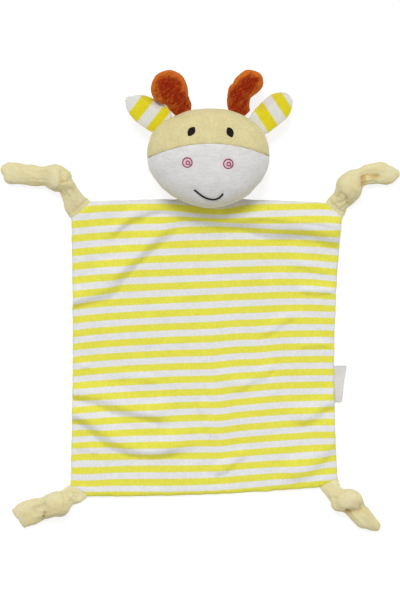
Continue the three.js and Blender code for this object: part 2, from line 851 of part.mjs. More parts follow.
/** One thread wound from a small ring out into a larger one. */
function nostril({ at }) {
  const path = [];
  const turns = 2;
  const steps = 34;
  for (let k = 0; k <= steps; k++) {
    const share = k / steps;
    const turn = -Math.PI / 4 + 2 * Math.PI * turns * share * 0.97;
    const radius = THREE.MathUtils.lerp(nostrilEyeRadius, nostrilRadius, ease((share - 0.38) / 0.2));
    path.push(onFace([at[0] + Math.cos(turn) * radius, at[1] + Math.sin(turn) * radius]));
  }
  return thread(path, threadRadius * 0.8);
}

function mouth() {
  const curve = new THREE.CatmullRomCurve3(smile.map(([x, y]) => new THREE.Vector3(x, y, 0)));
  return thread(curve.getPoints(14).map(p => onFace([p.x, p.y])), threadRadius);
}

// Neck

/** Axis of the neck seam, tucked between the blanket's top edge and the back of the head. */
function neckLine() {
  const radius = neckSeamThickness / 2;
  const y = neckY + clearance + radius;
  const slope = (headSurface(neckX, y + 1, -1) - headSurface(neckX, y - 1, -1)) / 2;
  const z = headSurface(neckX, y, -1) - (radius + clearance) * Math.hypot(1, slope);
  return new THREE.Vector3(neckX, y, z);
}

function neckSeam() {
  const middle = neckLine();
  const radius = neckSeamThickness / 2;
  const places = [-1, -0.94, 0.94, 1];
  const rings = places.map(share => {
    const thick = Math.abs(share) === 1 ? radius * 0.6 : radius;
    const centre = offset(middle, [heading(0), (share * neckSeamWidth) / 2]);
    return roundRing(centre, heading(90), thick, thick, 8, 1);
  });
  return skin(rings);
}

// Where each body turns

const neckHingeBack = 1.2;
const neckHingeRise = 1;
const neckHinge = new THREE.Vector3(neckX, neckY - neckHingeBack, neckLift + blanketThickness + neckHingeRise);

/** Group at a hinge, with its X along the line that it turns on. */
function hinged(parent, name, at, direction) {
  const group = new THREE.Group();
  group.name = name;
  group.position.copy(at);
  group.rotation.z = Math.atan2(direction.y, direction.x);
  group.updateMatrix();
  parent.attach(group);
  return group;
}

// Materials

function cloth(colour) {
  return new THREE.MeshStandardMaterial({ color: colour, roughness: 0.95, metalness: 0 });
}

function stitching(colour) {
  return new THREE.MeshStandardMaterial({ color: colour, roughness: 0.6, metalness: 0 });
}

const colours = {
  lemon: '#e6e04f',
  white: '#e6e5ea',
  cream: '#e6dba6',
  rust: '#b4521c',
  fibre: '#f2f0ea',
  black: '#241712',
  pink: '#c66b92',
};

/** Named mesh that stands where its geometry was worked out, carried by a group. */
function piece(group, name, shape, material) {
  const geometry = shape instanceof THREE.BufferGeometry ? shape : toGeometry(shape);
  geometry.computeVertexNormals();
  const mesh = new THREE.Mesh(geometry, material);
  mesh.name = name;
  group.attach(mesh);
  return mesh;
}

// Assembly

const toy = new THREE.Group();
toy.name = 'blanket';

function addBlanket() {
  piece(toy, 'back_panel', panel(0), cloth(colours.lemon));
  piece(toy, 'edge_seam', edgeSeam(), cloth(colours.white));
  piece(toy, 'front_panel', panel(blanketThickness - clothThickness), cloth(colours.lemon));
  piece(toy, 'neck_seam', neckSeam(), cloth(colours.cream));
  const seat = labelSeat();
  const tag = hinged(toy, 'label', seat.root, seat.along.clone().negate());
  piece(tag, 'label', label(), cloth(colours.white));
}

function addLimb(name) {
  const frame = limbFrame(name);
  const limb = hinged(toy, name, frame.root, frame.seam.along);
  piece(limb, `${name}_sleeve`, sleeve(frame), cloth(colours.cream));
  const body = knot(frame).intersect(aboveSurface(frame.knot));
  piece(limb, `${name}_knot`, body, cloth(colours.cream));
  const end = hinged(limb, `${name}_end`, frame.knot, heading(frame.shape.end.angle - 90));
  piece(end, `${name}_end`, freeEnd(frame), cloth(colours.cream));
}

function addHead() {
  const head = hinged(toy, 'head', neckHinge, heading(0));
  const front = toSolid(headShell(1));
  piece(head, 'head_back_panel', headShell(-1), cloth(colours.cream));
  piece(head, 'head_stuffing', headStuffing(), cloth(colours.fibre));
  piece(head, 'head_forehead_panel', front.intersect(faceBlock(1)), cloth(colours.cream));
  piece(head, 'head_muzzle_panel', front.intersect(faceBlock(-1)), cloth(colours.white));
  for (const [name, shape] of Object.entries(eyeShapes)) {
    piece(head, name, eye(shape), stitching(colours.black));
  }
  for (const [name, shape] of Object.entries(nostrilShapes)) {
    piece(head, name, nostril(shape), stitching(colours.pink));
  }
  piece(head, 'mouth', mouth(), stitching(colours.black));
  for (const [name, shape] of Object.entries(hornShapes)) {
    const frame = hornFrame(shape);
    const horn = hinged(head, name, frame.root, frame.side);
    piece(horn, `${name}_cover`, hornCover(frame), cloth(colours.rust));
    piece(horn, `${name}_stuffing`, hornStuffing(frame), cloth(colours.fibre));
  }
  for (const [name, shape] of Object.entries(earShapes)) {
    const frame = earFrame(shape);
    const ear = hinged(head, name, frame.root, frame.side);
    piece(ear, `${name}_front`, earPanel(frame, 1), cloth(colours.lemon));
    piece(ear, `${name}_back`, earPanel(frame, -1), cloth(colours.cream));
  }
}

addBlanket();
Object.keys(limbShapes).forEach(addLimb);
addHead();

export default toy;
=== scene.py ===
"""A comfort blanket with a plush calf's head, lying face up: velour, stuffing, knots and embroidery.

Lengths are in millimetres until a mesh is made. X runs to the right of the face, Y towards the horns, Z up.
Directions in the plan are degrees from X towards Y.
"""
import math

import bmesh
import bpy
import numpy as np
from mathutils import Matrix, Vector
from mathutils.bvhtree import BVHTree

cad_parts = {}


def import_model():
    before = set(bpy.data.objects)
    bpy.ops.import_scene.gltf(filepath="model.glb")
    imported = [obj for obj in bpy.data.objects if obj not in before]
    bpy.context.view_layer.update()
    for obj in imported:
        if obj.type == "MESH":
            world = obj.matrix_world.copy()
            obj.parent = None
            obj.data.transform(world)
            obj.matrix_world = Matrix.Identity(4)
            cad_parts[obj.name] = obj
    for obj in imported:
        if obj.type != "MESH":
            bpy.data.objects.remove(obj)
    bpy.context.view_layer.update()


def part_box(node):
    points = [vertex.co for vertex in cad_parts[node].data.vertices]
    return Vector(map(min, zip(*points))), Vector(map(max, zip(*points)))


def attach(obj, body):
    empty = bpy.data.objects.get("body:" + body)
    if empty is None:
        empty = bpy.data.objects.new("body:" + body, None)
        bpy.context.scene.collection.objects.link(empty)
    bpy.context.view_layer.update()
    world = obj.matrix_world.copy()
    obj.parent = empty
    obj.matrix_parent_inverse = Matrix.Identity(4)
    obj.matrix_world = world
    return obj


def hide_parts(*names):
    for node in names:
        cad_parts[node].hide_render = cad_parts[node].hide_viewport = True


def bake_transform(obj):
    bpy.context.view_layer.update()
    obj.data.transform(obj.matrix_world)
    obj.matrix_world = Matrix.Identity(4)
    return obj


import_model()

MM = 0.001
UP = np.array([0, 0, 1.0])

# Sizes shared with the solids

CLOTH = 1.3     # thickness of the velour
LAYERS = 5.0    # thickness of the blanket's two layers
BLANKET_CENTRE = (5.1, -43.7)
BLANKET_WIDTH, BLANKET_LENGTH = 226, 249
TOP_BOW, BOTTOM_BOW, RIGHT_BOW, LEFT_BOW = 2.5, 2.5, -5.0, -1.5
NECK = (7.8, 90.68)

# Each limb: its corner of the blanket and a shift, the direction and length of its seam, its knot's
# direction, distance from the seam and height, its free end's direction, and how far past the knot's middle
# that end is parted
LIMBS = {
    "arm_left": dict(corner=(-1, 1), skew=(1, 0), out=131.7, seam=23.5,
                     knot=(128, 34.8, 10.8), end=172.1, parting=8.5),
    "arm_right": dict(corner=(1, 1), skew=(2.5, 0), out=46, seam=20,
                      knot=(56, 26.4, 11.3), end=14.3, parting=11.5),
    "leg_left": dict(corner=(-1, -1), skew=(-1, -3.8), out=239, seam=17.9,
                     knot=(209.8, 22.9, 11), end=203.7, parting=10.5),
    "leg_right": dict(corner=(1, -1), skew=(-2.5, 3.9), out=296.4, seam=18.3,
                      knot=(315, 22.9, 10.8), end=321, parting=11),
}

HEAD = np.array([7.8, 127.58, 24.0])
HEAD_HALF = (54.3, 44.7)
# Where the back of the head starts and ends to turn away from the blanket
NAPE = [np.array([HEAD[0], y, z]) for y, z in ((89.5, 3.0), (96.5, 11.4))]
HEAD_FORM = {1: (32.0, 2.7), -1: (24.5, 2.35)}      # depth and fullness in front and behind
# The head's outline as shares of an ellipse: where horns and ears are sewn in, and the face itself
SEAT_PLAN = (0.986, 1.042, 1.035, 1.01, 1.015, 1.044, 0.983, 0.967, 0.969, 1, 1.004, 0.993)
FACE_PLAN = (1.0, 1.035, 1.012, 0.982, 0.998, 1.052, 1.018, 0.978, 0.972, 1.002, 1.0, 0.976)

# Small tools


def heading(angle):
    turn = math.radians(angle)
    return np.array([math.cos(turn), math.sin(turn)])


def unit(vectors):
    return vectors / np.maximum(np.linalg.norm(vectors, axis=-1, keepdims=True), 1e-9)


def lerp(a, b, share):
    return a + (b - a) * share


def ease(share):
    """From 0 to 1 with a soft start and end."""
    held = np.clip(share, 0.0, 1.0)
    return held * held * (3 - 2 * held)


def fade_ends(along, rate, least=0):
    """1 in the middle of a line, less towards its ends."""
    return ease(np.minimum(along, 1 - along) * rate + least)


def swell(distance, reach):
    return np.maximum(0.0, 1 - (distance / reach) ** 2) ** 2


def bell(distance, width):
    return np.exp(-(distance / width) ** 2)


def round_off(share, power=2):
    """1 at 0, round down to 0 at 1."""
    return np.sqrt(np.maximum(0, 1 - share ** power))


def fuller(wave, power=0.92):
    """A sine or cosine made squarer."""
    return np.sign(wave) * np.abs(wave) ** power


def quarter_sine(count):
    """Shares from 0 to 1, closer together towards 1."""
    return np.sin(np.linspace(0, math.pi / 2, count))


def circle(count, first=0):
    """Angles spread over a full turn, in radians."""
    return (np.arange(count) + first) * 2 * math.pi / count


def run(points):
    """How far along a line each of its points is."""
    return np.concatenate([[0], np.cumsum(np.linalg.norm(np.diff(points, axis=0), axis=1))])


def smooth_line(points, per=10):
    """Points on a smooth line through the given ones."""
    points = np.array(points, float)
    padded = np.vstack([2 * points[0] - points[1], points, 2 * points[-1] - points[-2]])
    t = (np.arange(per) / per)[:, None]
    out = [0.5 * (2 * b + (c - a) * t + (2 * a - 5 * b + 4 * c - d) * t ** 2
                  + (3 * b - a - 3 * c + d) * t ** 3)
           for a, b, c, d in zip(padded, padded[1:], padded[2:], padded[3:])]
    return np.vstack(out + [points[-1]])


def ripple(points, size, seed, octaves=1):
    """Smooth wandering value from about -1 to 1 at each point, with features of about the given size."""
    points = np.asarray(points, float)
    total, weight, waves = np.zeros(points.shape[:-1]), 0.0, 14
    for octave in range(octaves):
        draw = np.random.RandomState(seed + 17 * octave)
        strength = 0.5 ** octave
        part = np.zeros(points.shape[:-1])
        for _ in range(waves):
            direction = draw.normal(size=points.shape[-1])
            direction *= draw.uniform(0.6, 1.3) * math.pi / (size * strength) / np.linalg.norm(direction)
            part += np.sin(points @ direction + draw.uniform(0, 2 * math.pi))
        total += strength * part / math.sqrt(waves / 2) / 1.6
        weight += strength
    return total / weight


def to_line(x, y, line):
    """Distance from each point to a line, the side (1 is to its left) and how far along the line it is."""
    best, side, along = np.full(x.shape, 1e9), np.zeros(x.shape), np.zeros(x.shape)
    steps = run(line)
    for (ax, ay), (bx, by), passed in zip(line, line[1:], steps):
        dx, dy = bx - ax, by - ay
        length = math.hypot(dx, dy)
        t = np.clip(((x - ax) * dx + (y - ay) * dy) / length ** 2, 0, 1)
        px, py = x - ax - t * dx, y - ay - t * dy
        distance = np.hypot(px, py)
        nearer = distance < best
        best = np.where(nearer, distance, best)
        side = np.where(nearer, np.sign(dx * py - dy * px), side)
        along = np.where(nearer, passed + t * length, along)
    return best, side, along / steps[-1]


# Meshes


def grid_faces(rows, columns, wrap=False, start=0, flip=False):
    """Faces of a field of points; wrap joins the last column to the first."""
    r, c = np.meshgrid(np.arange(rows - 1), np.arange(columns if wrap else columns - 1), indexing="ij")
    here, beside = r * columns + c, r * columns + (c + 1) % columns
    quads = np.stack([here, beside, beside + columns, here + columns], -1).reshape(-1, 4) + start
    return (quads[:, ::-1] if flip else quads).tolist()


def field_normals(field, wrap=False, facing=None):
    """Normals of a field of points, turned the way that facing points, or away from its middle."""
    if wrap:
        wide = np.concatenate([field[:, -1:], field, field[:, :1]], 1)
        across = wide[:, 2:] - wide[:, :-2]
    else:
        across = np.gradient(field, axis=1)
    normal = unit(np.cross(across, np.gradient(field, axis=0)))
    out = field - field.reshape(-1, 3).mean(0) if facing is None else np.asarray(facing)
    return normal * (1 if (normal * out).sum() > 0 else -1)


def volume_of(mesh):
    """Volume inside a closed mesh, below zero where its faces look inward."""
    mesh.calc_loop_triangles()
    corners = np.zeros(len(mesh.loop_triangles) * 3, np.int32)
    mesh.loop_triangles.foreach_get("vertices", corners)
    points = np.zeros(len(mesh.vertices) * 3)
    mesh.vertices.foreach_get("co", points)
    a, b, c = points.reshape(-1, 3)[corners.reshape(-1, 3)].transpose(1, 0, 2)
    return float((np.cross(a, b) * c).sum() / 6)


def placed(name, data):
    """A new object in the scene."""
    thing = bpy.data.objects.new(name, data)
    bpy.context.scene.collection.objects.link(thing)
    return thing


def note(mesh, name, values):
    """Store a value at each point of a mesh, for its material to read."""
    mesh.attributes.new(name, "FLOAT", "POINT").data.foreach_set("value", np.asarray(values, np.float32))


def make(name, points, faces, material, layers=None):
    """Smooth closed mesh object from points in millimetres; layers are values for its material."""
    mesh = bpy.data.meshes.new(name)
    mesh.from_pydata((np.asarray(points) * MM).tolist(), [], faces)
    mesh.validate()
    mesh.update()
    for key, values in (layers or {}).items():
        note(mesh, key, values)
    if volume_of(mesh) < 0:
        mesh.flip_normals()
    mesh.polygons.foreach_set("use_smooth", [True] * len(mesh.polygons))
    mesh.materials.append(material)
    return placed(name, mesh)


def shell(name, outer, thickness, material, layers=None, facing=None):
    """Closed layer of cloth under a field of points: a sheet that faces one way, or rings round a pole."""
    rows, columns = outer.shape[:2]
    dome = facing is None
    inner = outer - field_normals(outer, dome, facing) * thickness
    count = rows * columns
    faces = grid_faces(rows, columns, dome) + grid_faces(rows, columns, dome, count, True)
    points = [outer.reshape(-1, 3), inner.reshape(-1, 3)]
    if dome:
        edge = list(range(count - 1, count - columns - 1, -1))
        points += [outer[:1].mean(1), inner[:1].mean(1)]
        for k in range(columns):
            n = (k + 1) % columns
            faces += [[2 * count, n, k], [2 * count + 1, count + k, count + n]]
    else:
        place = np.arange(count).reshape(rows, columns)
        edge = [*place[0, :-1], *place[:-1, -1], *place[-1, :0:-1], *place[:0:-1, 0]]
    faces += [[b, a, a + count, b + count] for a, b in zip(edge, edge[1:] + edge[:1])]
    poles = len(points) - 2
    both = {key: np.concatenate([values.ravel()] * 2 + [values.ravel()[:1]] * poles)
            for key, values in (layers or {}).items()}
    return make(name, np.concatenate(points), faces, material, both)


def over_rings(bodies):
    """Points and faces of closed bodies over rings of points, each end closed by a fan."""
    points, faces, start = [], [], 0
    for rings in bodies:
        count, around = rings.shape[:2]
        end = start + count * around
        faces += grid_faces(count, around, True, start)
        for k in range(around):
            n = (k + 1) % around
            faces += [[end, start + n, start + k], [end + 1, end - around + k, end - around + n]]
        points += [rings.reshape(-1, 3), rings[:1].mean(1), rings[-1:].mean(1)]
        start = end + 2
    return np.concatenate(points), faces


def thread_rings(path, radius, sides=8, twist=0.0, lumps=0.0):
    """Rings of a thread along a path, lumpy where its strands twist."""
    along = unit(np.gradient(path, axis=0))
    across = unit(np.cross(along, UP))
    over = np.cross(across, along)
    radii = np.broadcast_to(radius, (len(path),))
    turn = circle(sides)
    shape = 1 + lumps * np.cos(2 * turn[None, :] + twist * run(path)[:, None])
    ring = across[:, None] * np.cos(turn)[:, None] + over[:, None] * np.sin(turn)[:, None]
    return path[:, None] + ring * (radii[:, None] * shape)[..., None]


def threads(name, runs, material, **facts):
    """One piece made of several closed threads, each a path and a radius."""
    return make(name, *over_rings([thread_rings(path, radius, **facts) for path, radius in runs]), material)


def keep(piece, body, nodes, blend=None):
    """Hide the model's parts that a piece stands for and hang the piece on its body; a piece given a blend
    (the body before it and where its turn starts and ends) is only fixed in place, and what the blend holds
    is not used.
    """
    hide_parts(*nodes)
    if blend:
        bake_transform(piece)
    else:
        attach(piece, body)


def points_of(piece, what="co"):
    """The piece's points in millimetres, or its normals."""
    data = np.zeros(len(piece.data.vertices) * 3)
    piece.data.vertices.foreach_get(what, data)
    return data.reshape(-1, 3) / (MM if what == "co" else 1)


def move_points(piece, points):
    piece.data.vertices.foreach_set("co", (points * MM).ravel())
    piece.data.update()


def applied(piece):
    """Apply every modifier of a piece."""
    bpy.context.view_layer.update()
    graph = bpy.context.evaluated_depsgraph_get()
    mesh = bpy.data.meshes.new_from_object(piece.evaluated_get(graph))
    piece.modifiers.clear()
    piece.vertex_groups.clear()
    old, piece.data = piece.data, mesh
    bpy.data.meshes.remove(old)
    mesh.polygons.foreach_set("use_smooth", [True] * len(mesh.polygons))


def remeshed(piece, voxel, soften):
    """The piece as one skin of even faces, softened a little."""
    skin = piece.modifiers.new("skin", "REMESH")
    skin.mode, skin.voxel_size = "VOXEL", voxel * MM
    soft = piece.modifiers.new("soft", "SMOOTH")
    soft.factor, soft.iterations = 0.5, soften
    applied(piece)


SIMULATED_AT = 20.0     # the simulation is run at this many times the real size
FRAMES = 20
DEEPEST_SHADED_CREASE = 0.55   # how deep a crease has its full painted shade


def settled(piece, growth, pressure, held, cap):
    """Let the piece's cloth, cut a little too large, settle over its filling; no point moves past the cap."""
    start = points_of(piece)
    middle = start.mean(0)
    move_points(piece, (start - middle) * SIMULATED_AT)
    piece.vertex_groups.new(name="held").add(np.nonzero(held)[0].tolist(), 1.0, "REPLACE")
    cloth = piece.modifiers.new("cloth", "CLOTH")
    facts = dict(quality=5, mass=0.3, tension_stiffness=12, compression_stiffness=12, shear_stiffness=6,
                 bending_stiffness=0.3, shrink_min=-growth, use_pressure=True,
                 uniform_pressure_force=pressure, vertex_group_mass="held")
    for key, value in facts.items():
        setattr(cloth.settings, key, value)
    cloth.settings.effector_weights.gravity = 0
    cloth.collision_settings.use_collision = False
    cloth.point_cache.frame_start, cloth.point_cache.frame_end = 1, FRAMES
    for step in range(1, FRAMES + 1):
        bpy.context.scene.frame_set(step)
    applied(piece)
    bpy.context.scene.frame_set(1)
    move = points_of(piece) / SIMULATED_AT + middle - start
    length = np.linalg.norm(move, axis=1, keepdims=True)
    move_points(piece, start + move * np.minimum(1, cap / np.maximum(length, 1e-6)))
    bpy.context.view_layer.update()


def neighbours_mean(piece, values, rounds):
    """Values of the points, each averaged with its neighbours a number of times."""
    count = len(piece.data.vertices)
    ends = np.zeros(len(piece.data.edges) * 2, np.int32)
    piece.data.edges.foreach_get("vertices", ends)
    a, b = ends.reshape(-1, 2).T
    shares = np.bincount(a, minlength=count) + np.bincount(b, minlength=count)
    for _ in range(rounds):
        total = np.stack([np.bincount(a, values[b, k], count) + np.bincount(b, values[a, k], count)
                          for k in range(values.shape[1])], -1)
        values = 0.5 * values + 0.5 * total / np.maximum(shares, 1)[:, None]
    return values


def note_crease_shade(piece):
    """Store how deep each point lies in a crease, from 0 to 1, spread over the cloth beside it, as the mask
    of the painted crease shade.
    """
    place, normal = points_of(piece), points_of(piece, "normal")
    depth = ((neighbours_mean(piece, place, 30) - place) * normal).sum(1)
    depth = neighbours_mean(piece, np.maximum(depth, 0)[:, None], 22)[:, 0]
    note(piece.data, "crease_shade", np.clip(depth / DEEPEST_SHADED_CREASE, 0, 1))


# Materials


def colour(code):
    """Linear colour from a hexadecimal one."""
    values = [int(code[k:k + 2], 16) / 255 for k in (1, 3, 5)]
    return tuple(v / 12.92 if v <= 0.04045 else ((v + 0.055) / 1.055) ** 2.4 for v in values) + (1.0,)


class Nodes:
    """Short ways to add nodes to a material or the world."""

    def __init__(self, owner):
        owner.use_nodes = True
        self.tree = owner.node_tree

    def fill(self, socket, value):
        if isinstance(value, bpy.types.NodeSocket):
            self.tree.links.new(value, socket)
        else:
            socket.default_value = value

    def add(self, kind, inputs=(), **settings):
        node = self.tree.nodes.new("ShaderNode" + kind)
        for key, value in settings.items():
            setattr(node, key, value)
        for key, value in dict(inputs).items():
            self.fill(node.inputs[key], value)
        return node

    def calc(self, operation, *values, clamp=False):
        return self.add("Math", enumerate(values), operation=operation, use_clamp=clamp).outputs[0]


class Shader(Nodes):
    """A material with one Principled shader."""

    def __init__(self, name):
        self.material = bpy.data.materials.new(name)
        super().__init__(self.material)
        self.place = self.add("TexCoord").outputs["Object"]

    def noise(self, scale, detail=2.0, roughness=0.5, stretch=None, turn=0.0):
        """Noise from 0 to 1; scale is in features per metre, stretch how much longer they are each way."""
        place = self.place
        if stretch:
            facts = {"Vector": place, "Scale": stretch, "Rotation": (0, 0, turn)}
            place = self.add("Mapping", facts, vector_type="TEXTURE").outputs["Vector"]
        facts = {"Vector": place, "Scale": scale, "Detail": detail, "Roughness": roughness}
        return self.add("TexNoise", facts).outputs["Fac"]

    def bands(self, direction, scale):
        """Even bands across one direction."""
        facts = {"Vector": self.place, "Scale": scale}
        return self.add("TexWave", facts, wave_type="BANDS", bands_direction=direction).outputs["Fac"]

    def span(self, value, low, high, to_low=0.0, to_high=1.0):
        """The value from low to high, softly turned into one from to_low to to_high."""
        numbers = enumerate((value, low, high, to_low, to_high))
        return self.add("MapRange", numbers, interpolation_type="SMOOTHSTEP").outputs[0]

    def mix(self, share, a, b, kind="MIX"):
        facts = {"Factor": share, "A": a, "B": b}
        return self.add("Mix", facts, data_type="RGBA", blend_type=kind).outputs["Result"]

    def vary(self, base, tone, amount):
        """A colour made up to the given share darker and lighter by a value from 0 to 1."""
        grey = self.span(tone, 0.25, 0.75, 1 - amount, 1 + amount)
        return self.mix(1.0, base, self.add("CombineColor", enumerate([grey] * 3)).outputs[0], "MULTIPLY")

    def layer(self, name):
        return self.add("Attribute", attribute_name=name).outputs["Fac"]

    def bump(self, height, strength, distance, under=None):
        facts = {"Height": height, "Strength": strength, "Distance": distance}
        return self.add("Bump", {**facts, "Normal": under} if under else facts).outputs["Normal"]

    def finish(self, colour, normal, **values):
        """Fill the Principled shader's sockets and give back the material."""
        values.update(Base_Color=colour, Normal=normal)
        for key, value in values.items():
            self.fill(self.tree.nodes["Principled BSDF"].inputs[key.replace("_", " ")], value)
        return self.material


def velour(name, paint, sheen, pile=1.0, grain=None, mottle=0.05, nap=0.35):
    """Short-pile velour; paint is a colour or a function that returns one."""
    s = Shader(name)
    fine, tufts = s.noise(1300, 2, 0.6), s.noise(430, 2, 0.55, grain)
    toned = s.vary(paint(s) if callable(paint) else colour(paint), s.noise(95, 3), mottle)
    toned = s.vary(s.vary(toned, tufts, 0.05 * pile), fine, 0.07 * pile)
    relief = s.bump(fine, 0.45 * pile, 0.0004, s.bump(tufts, 0.35 * pile, 0.0009))
    return s.finish(toned, relief, Roughness=0.95, Specular_IOR_Level=0.12, Sheen_Weight=nap,
                    Sheen_Roughness=0.45, Sheen_Tint=colour(sheen))


def striped(name, lemon, white, sheen):
    """Velour in two colours; the mesh says how many stripes along each point is."""
    def paint(s):
        wander = s.calc("MULTIPLY_ADD", s.noise(600, 2), 0.05, -0.025)
        wave = s.calc("PINGPONG", s.calc("ADD", s.layer("stripe"), wander), 0.5)
        return s.mix(s.span(wave, 0.215, 0.305), colour(lemon), colour(white))
    return velour(name, paint, sheen, pile=0.8, mottle=0.022)


def muzzle_paint(s):
    # Painted shade with a yellow cast on the lower rim of the muzzle, as if lit from the yellow blanket below
    tinted = s.mix(s.layer("painted_chin_shade"), colour("#dfdedd"), colour("#dfdac4"))
    return s.mix(s.layer("blush"), tinted, colour("#ecbecb"))


def rust_paint(s):
    """Deep rust in the middle, a painted orange sheen at the rim, and orange where the pile is brushed."""
    strokes = s.noise(900, 3, 0.65, (1.0, 3.5, 1.0), -0.8)
    patches = s.span(s.noise(260, 3, 0.6, (1.0, 2.5, 1.0), -0.8), 0.3, 0.7, -0.22, 0.22)
    # Painted sheen: the rim values turn the rust orange
    rim = s.span(s.calc("ADD", s.layer("rim"), patches), 0.0, 1.0, 0.0, 0.98)
    share = s.calc("ADD", rim, s.span(strokes, 0.45, 0.75, -0.06, 0.5), clamp=True)
    deep = s.mix(s.span(s.noise(900, 2), 0.3, 0.7), colour("#7d1804"), colour("#982709"))
    return s.mix(share, deep, colour("#cf6d22"))


def limb_paint(s):
    tinted = s.mix(s.span(s.noise(60, 2), 0.4, 0.7), colour("#e5dcae"), colour("#e3d5a0"))
    # Painted shade: golden brown in and beside the creases
    return s.mix(s.span(s.layer("crease_shade"), 0.05, 1.0, 0.0, 0.9), tinted, colour("#d2b26c"))


def satin(name, tone):
    s = Shader(name)
    weave = s.calc("ADD", s.bands("Y", 900), s.bands("X", 600))
    return s.finish(s.vary(colour(tone), s.noise(300, 2), 0.04), s.bump(weave, 0.3, 0.00015),
                    Roughness=0.42, Specular_IOR_Level=0.45, Sheen_Weight=0.15)


def thread(name, tone, roughness=0.5, gloss=0.35):
    s = Shader(name)
    strand = s.noise(2600, 2, 0.5, (1.0, 1.0, 0.5))
    return s.finish(s.vary(colour(tone), strand, 0.25), s.bump(strand, 0.4, 0.00015),
                    Roughness=roughness, Specular_IOR_Level=gloss)


def fibre(name):
    s = Shader(name)
    tangle = s.noise(500, 5, 0.7)
    return s.finish(s.vary(colour("#f2f0ea"), tangle, 0.08), s.bump(tangle, 0.8, 0.0012),
                    Roughness=1.0, Sheen_Weight=0.3)


STRIPED = striped("velour_striped", "#e7e251", "#e6e6e7", "#fffde6")
EAR_STRIPED = striped("velour_striped_ears", "#dfd123", "#dfdfd9", "#fffde6")
CREAM = velour("velour_cream", "#ddd19c", "#fffbe8")
WHITE = velour("velour_white", muzzle_paint, "#ffffff", grain=(3.0, 1.0, 1.0), mottle=0.03, nap=0.75)
LIMB_CREAM = velour("velour_cream_limbs", limb_paint, "#fffbe8", pile=0.85, mottle=0.02)
RUST = velour("velour_rust", rust_paint, "#ff9a50", pile=1.6, mottle=0.04)
FIBRE = fibre("fibre_fill")
BLACK = thread("thread_black", "#120b08", 0.6, 0.15)
PINK = thread("thread_pink", "#96285c")
LABEL = satin("label_satin", "#d9d7d2")

# Blanket


def corner_seam(limb):
    """Ends and directions of a limb's corner seam, running clockwise round the blanket."""
    size = np.array([BLANKET_WIDTH, BLANKET_LENGTH])
    middle = np.array(BLANKET_CENTRE) + np.array(limb["corner"]) * size / 2 + np.array(limb["skew"])
    along = heading(limb["out"] - 90)
    return dict(middle=middle, out=heading(limb["out"]), along=along,
                start=middle - along * limb["seam"] / 2, finish=middle + along * limb["seam"] / 2)


SEAMS = {name: corner_seam(limb) for name, limb in LIMBS.items()}

# Folds: crest from left to right, height, reach towards the head and the feet, stripes taken up in it
MAIN_FOLDS = [
    ([(16, 78), (34, 75), (55, 71.5), (80, 68), (106, 64), (142, 57)], 9.2, 20, 15, 0),
    ([(-38, 80), (-15, 80), (3.5, 78), (28, 73.5), (53, 70), (70, 67.5), (81, 66), (97, 63.5), (118, 59.5),
      (140, 56)], 7.0, 18, 10.5, 0.24),
    ([(-88, 55), (-80, 61), (-70.5, 68.5), (-60, 76), (-44, 81), (-27.5, 81), (-12, 79)], 3.9, 9, 7, 0),
    ([(-140, -9), (-110.5, 0.5), (-84, 11.5), (-78, 21.5), (-62.5, 35), (-46.5, 50.5), (-31.5, 66),
      (-15, 82)], 6.0, 19, 10, 0.1),
    ([(-135, -81), (-111.5, -84), (-88.5, -88), (-72.5, -94.3), (-57, -99.8), (-39, -103), (-19, -103)],
     4.8, 16, 9, 0.07),
    ([(-135, -95), (-111, -103.5), (-99.5, -108.5), (-87, -118), (-71.5, -128), (-57.5, -134), (-43, -136),
      (-29, -133), (-12, -126.5), (-4, -121)], 6.0, 17, 9.5, 0.11),
    ([(84, -113), (105, -99), (118, -91), (136, -81)], 3.6, 13, 8, 0.05),
    ([(72, -162), (99, -148.5), (112, -136), (119, -122), (130, -100)], 3.8, 15, 11, 0.11),
]
FINE_FOLDS = [
    ([(36, 76), (58, 74.5), (85, 72.5), (109, 70), (130, 66)], 2.4, 6, 5),
    ([(-130, -127), (-113, -131), (-102, -133.5), (-90, -139)], 1.4, 8, 5),
    ([(87, 8.5), (104, 8), (118, 8), (140, 8)], 2.4, 7, 4.5),
    ([(78, 35), (100, 30), (118, 24)], 1.3, 9, 6),
    ([(10, -158), (22, -151), (33, -143), (42, -134)], 2.2, 9, 5.5),
    ([(54, -33), (72, -20), (88, -11)], 1.8, 9, 6),
    ([(26, -82), (50, -70), (70, -56)], 1.6, 10, 6.5),
    ([(86, -42), (102, -40), (120, -40)], 1.5, 7, 4.5),
    ([(-130, -58), (-113, -58.5), (-97, -59.5)], 1.7, 6, 4.5),
    ([(-80, -67), (-56, -69), (-32, -75)], 1.3, 8, 6),
    ([(1, -88), (6, -106), (13, -126)], 1.5, 8, 6),
    ([(-104, 40), (-82, 44), (-62, 46)], 0.9, 8, 6),
    ([(-20, 10), (10, 14), (44, 8)], 0.5, 12, 9),
    ([(-60, -40), (-30, -36), (0, -40)], 0.5, 12, 9),
]

# Where the stripes bend: place, reach across and up, and how many stripes further they lie
BENDS = [((10, 58), (40, 12), 0.1), ((19, -115), (11, 38), -0.1), ((-2, -60), (14, 40), -0.05),
         ((70, -75), (22, 40), 0.05), ((122, 18), (14, 22), -0.13), ((18, 80.5), (24, 6), -0.36),
         ((114, 84), (28, 20), 0.18), ((-104, -162), (22, 20), -0.16), ((-90, 34), (45, 45), -0.065),
         ((106, 38), (22, 20), -0.11), ((56, 57.5), (70, 9), -0.075), ((12, -66), (9, 45), -0.06),
         ((54, -45), (11, 28), -0.06), ((90, -151), (28, 12), -0.11), ((-63, -168), (90, 9), -0.06),
         ((-104, -141), (14, 10), 0.11)]


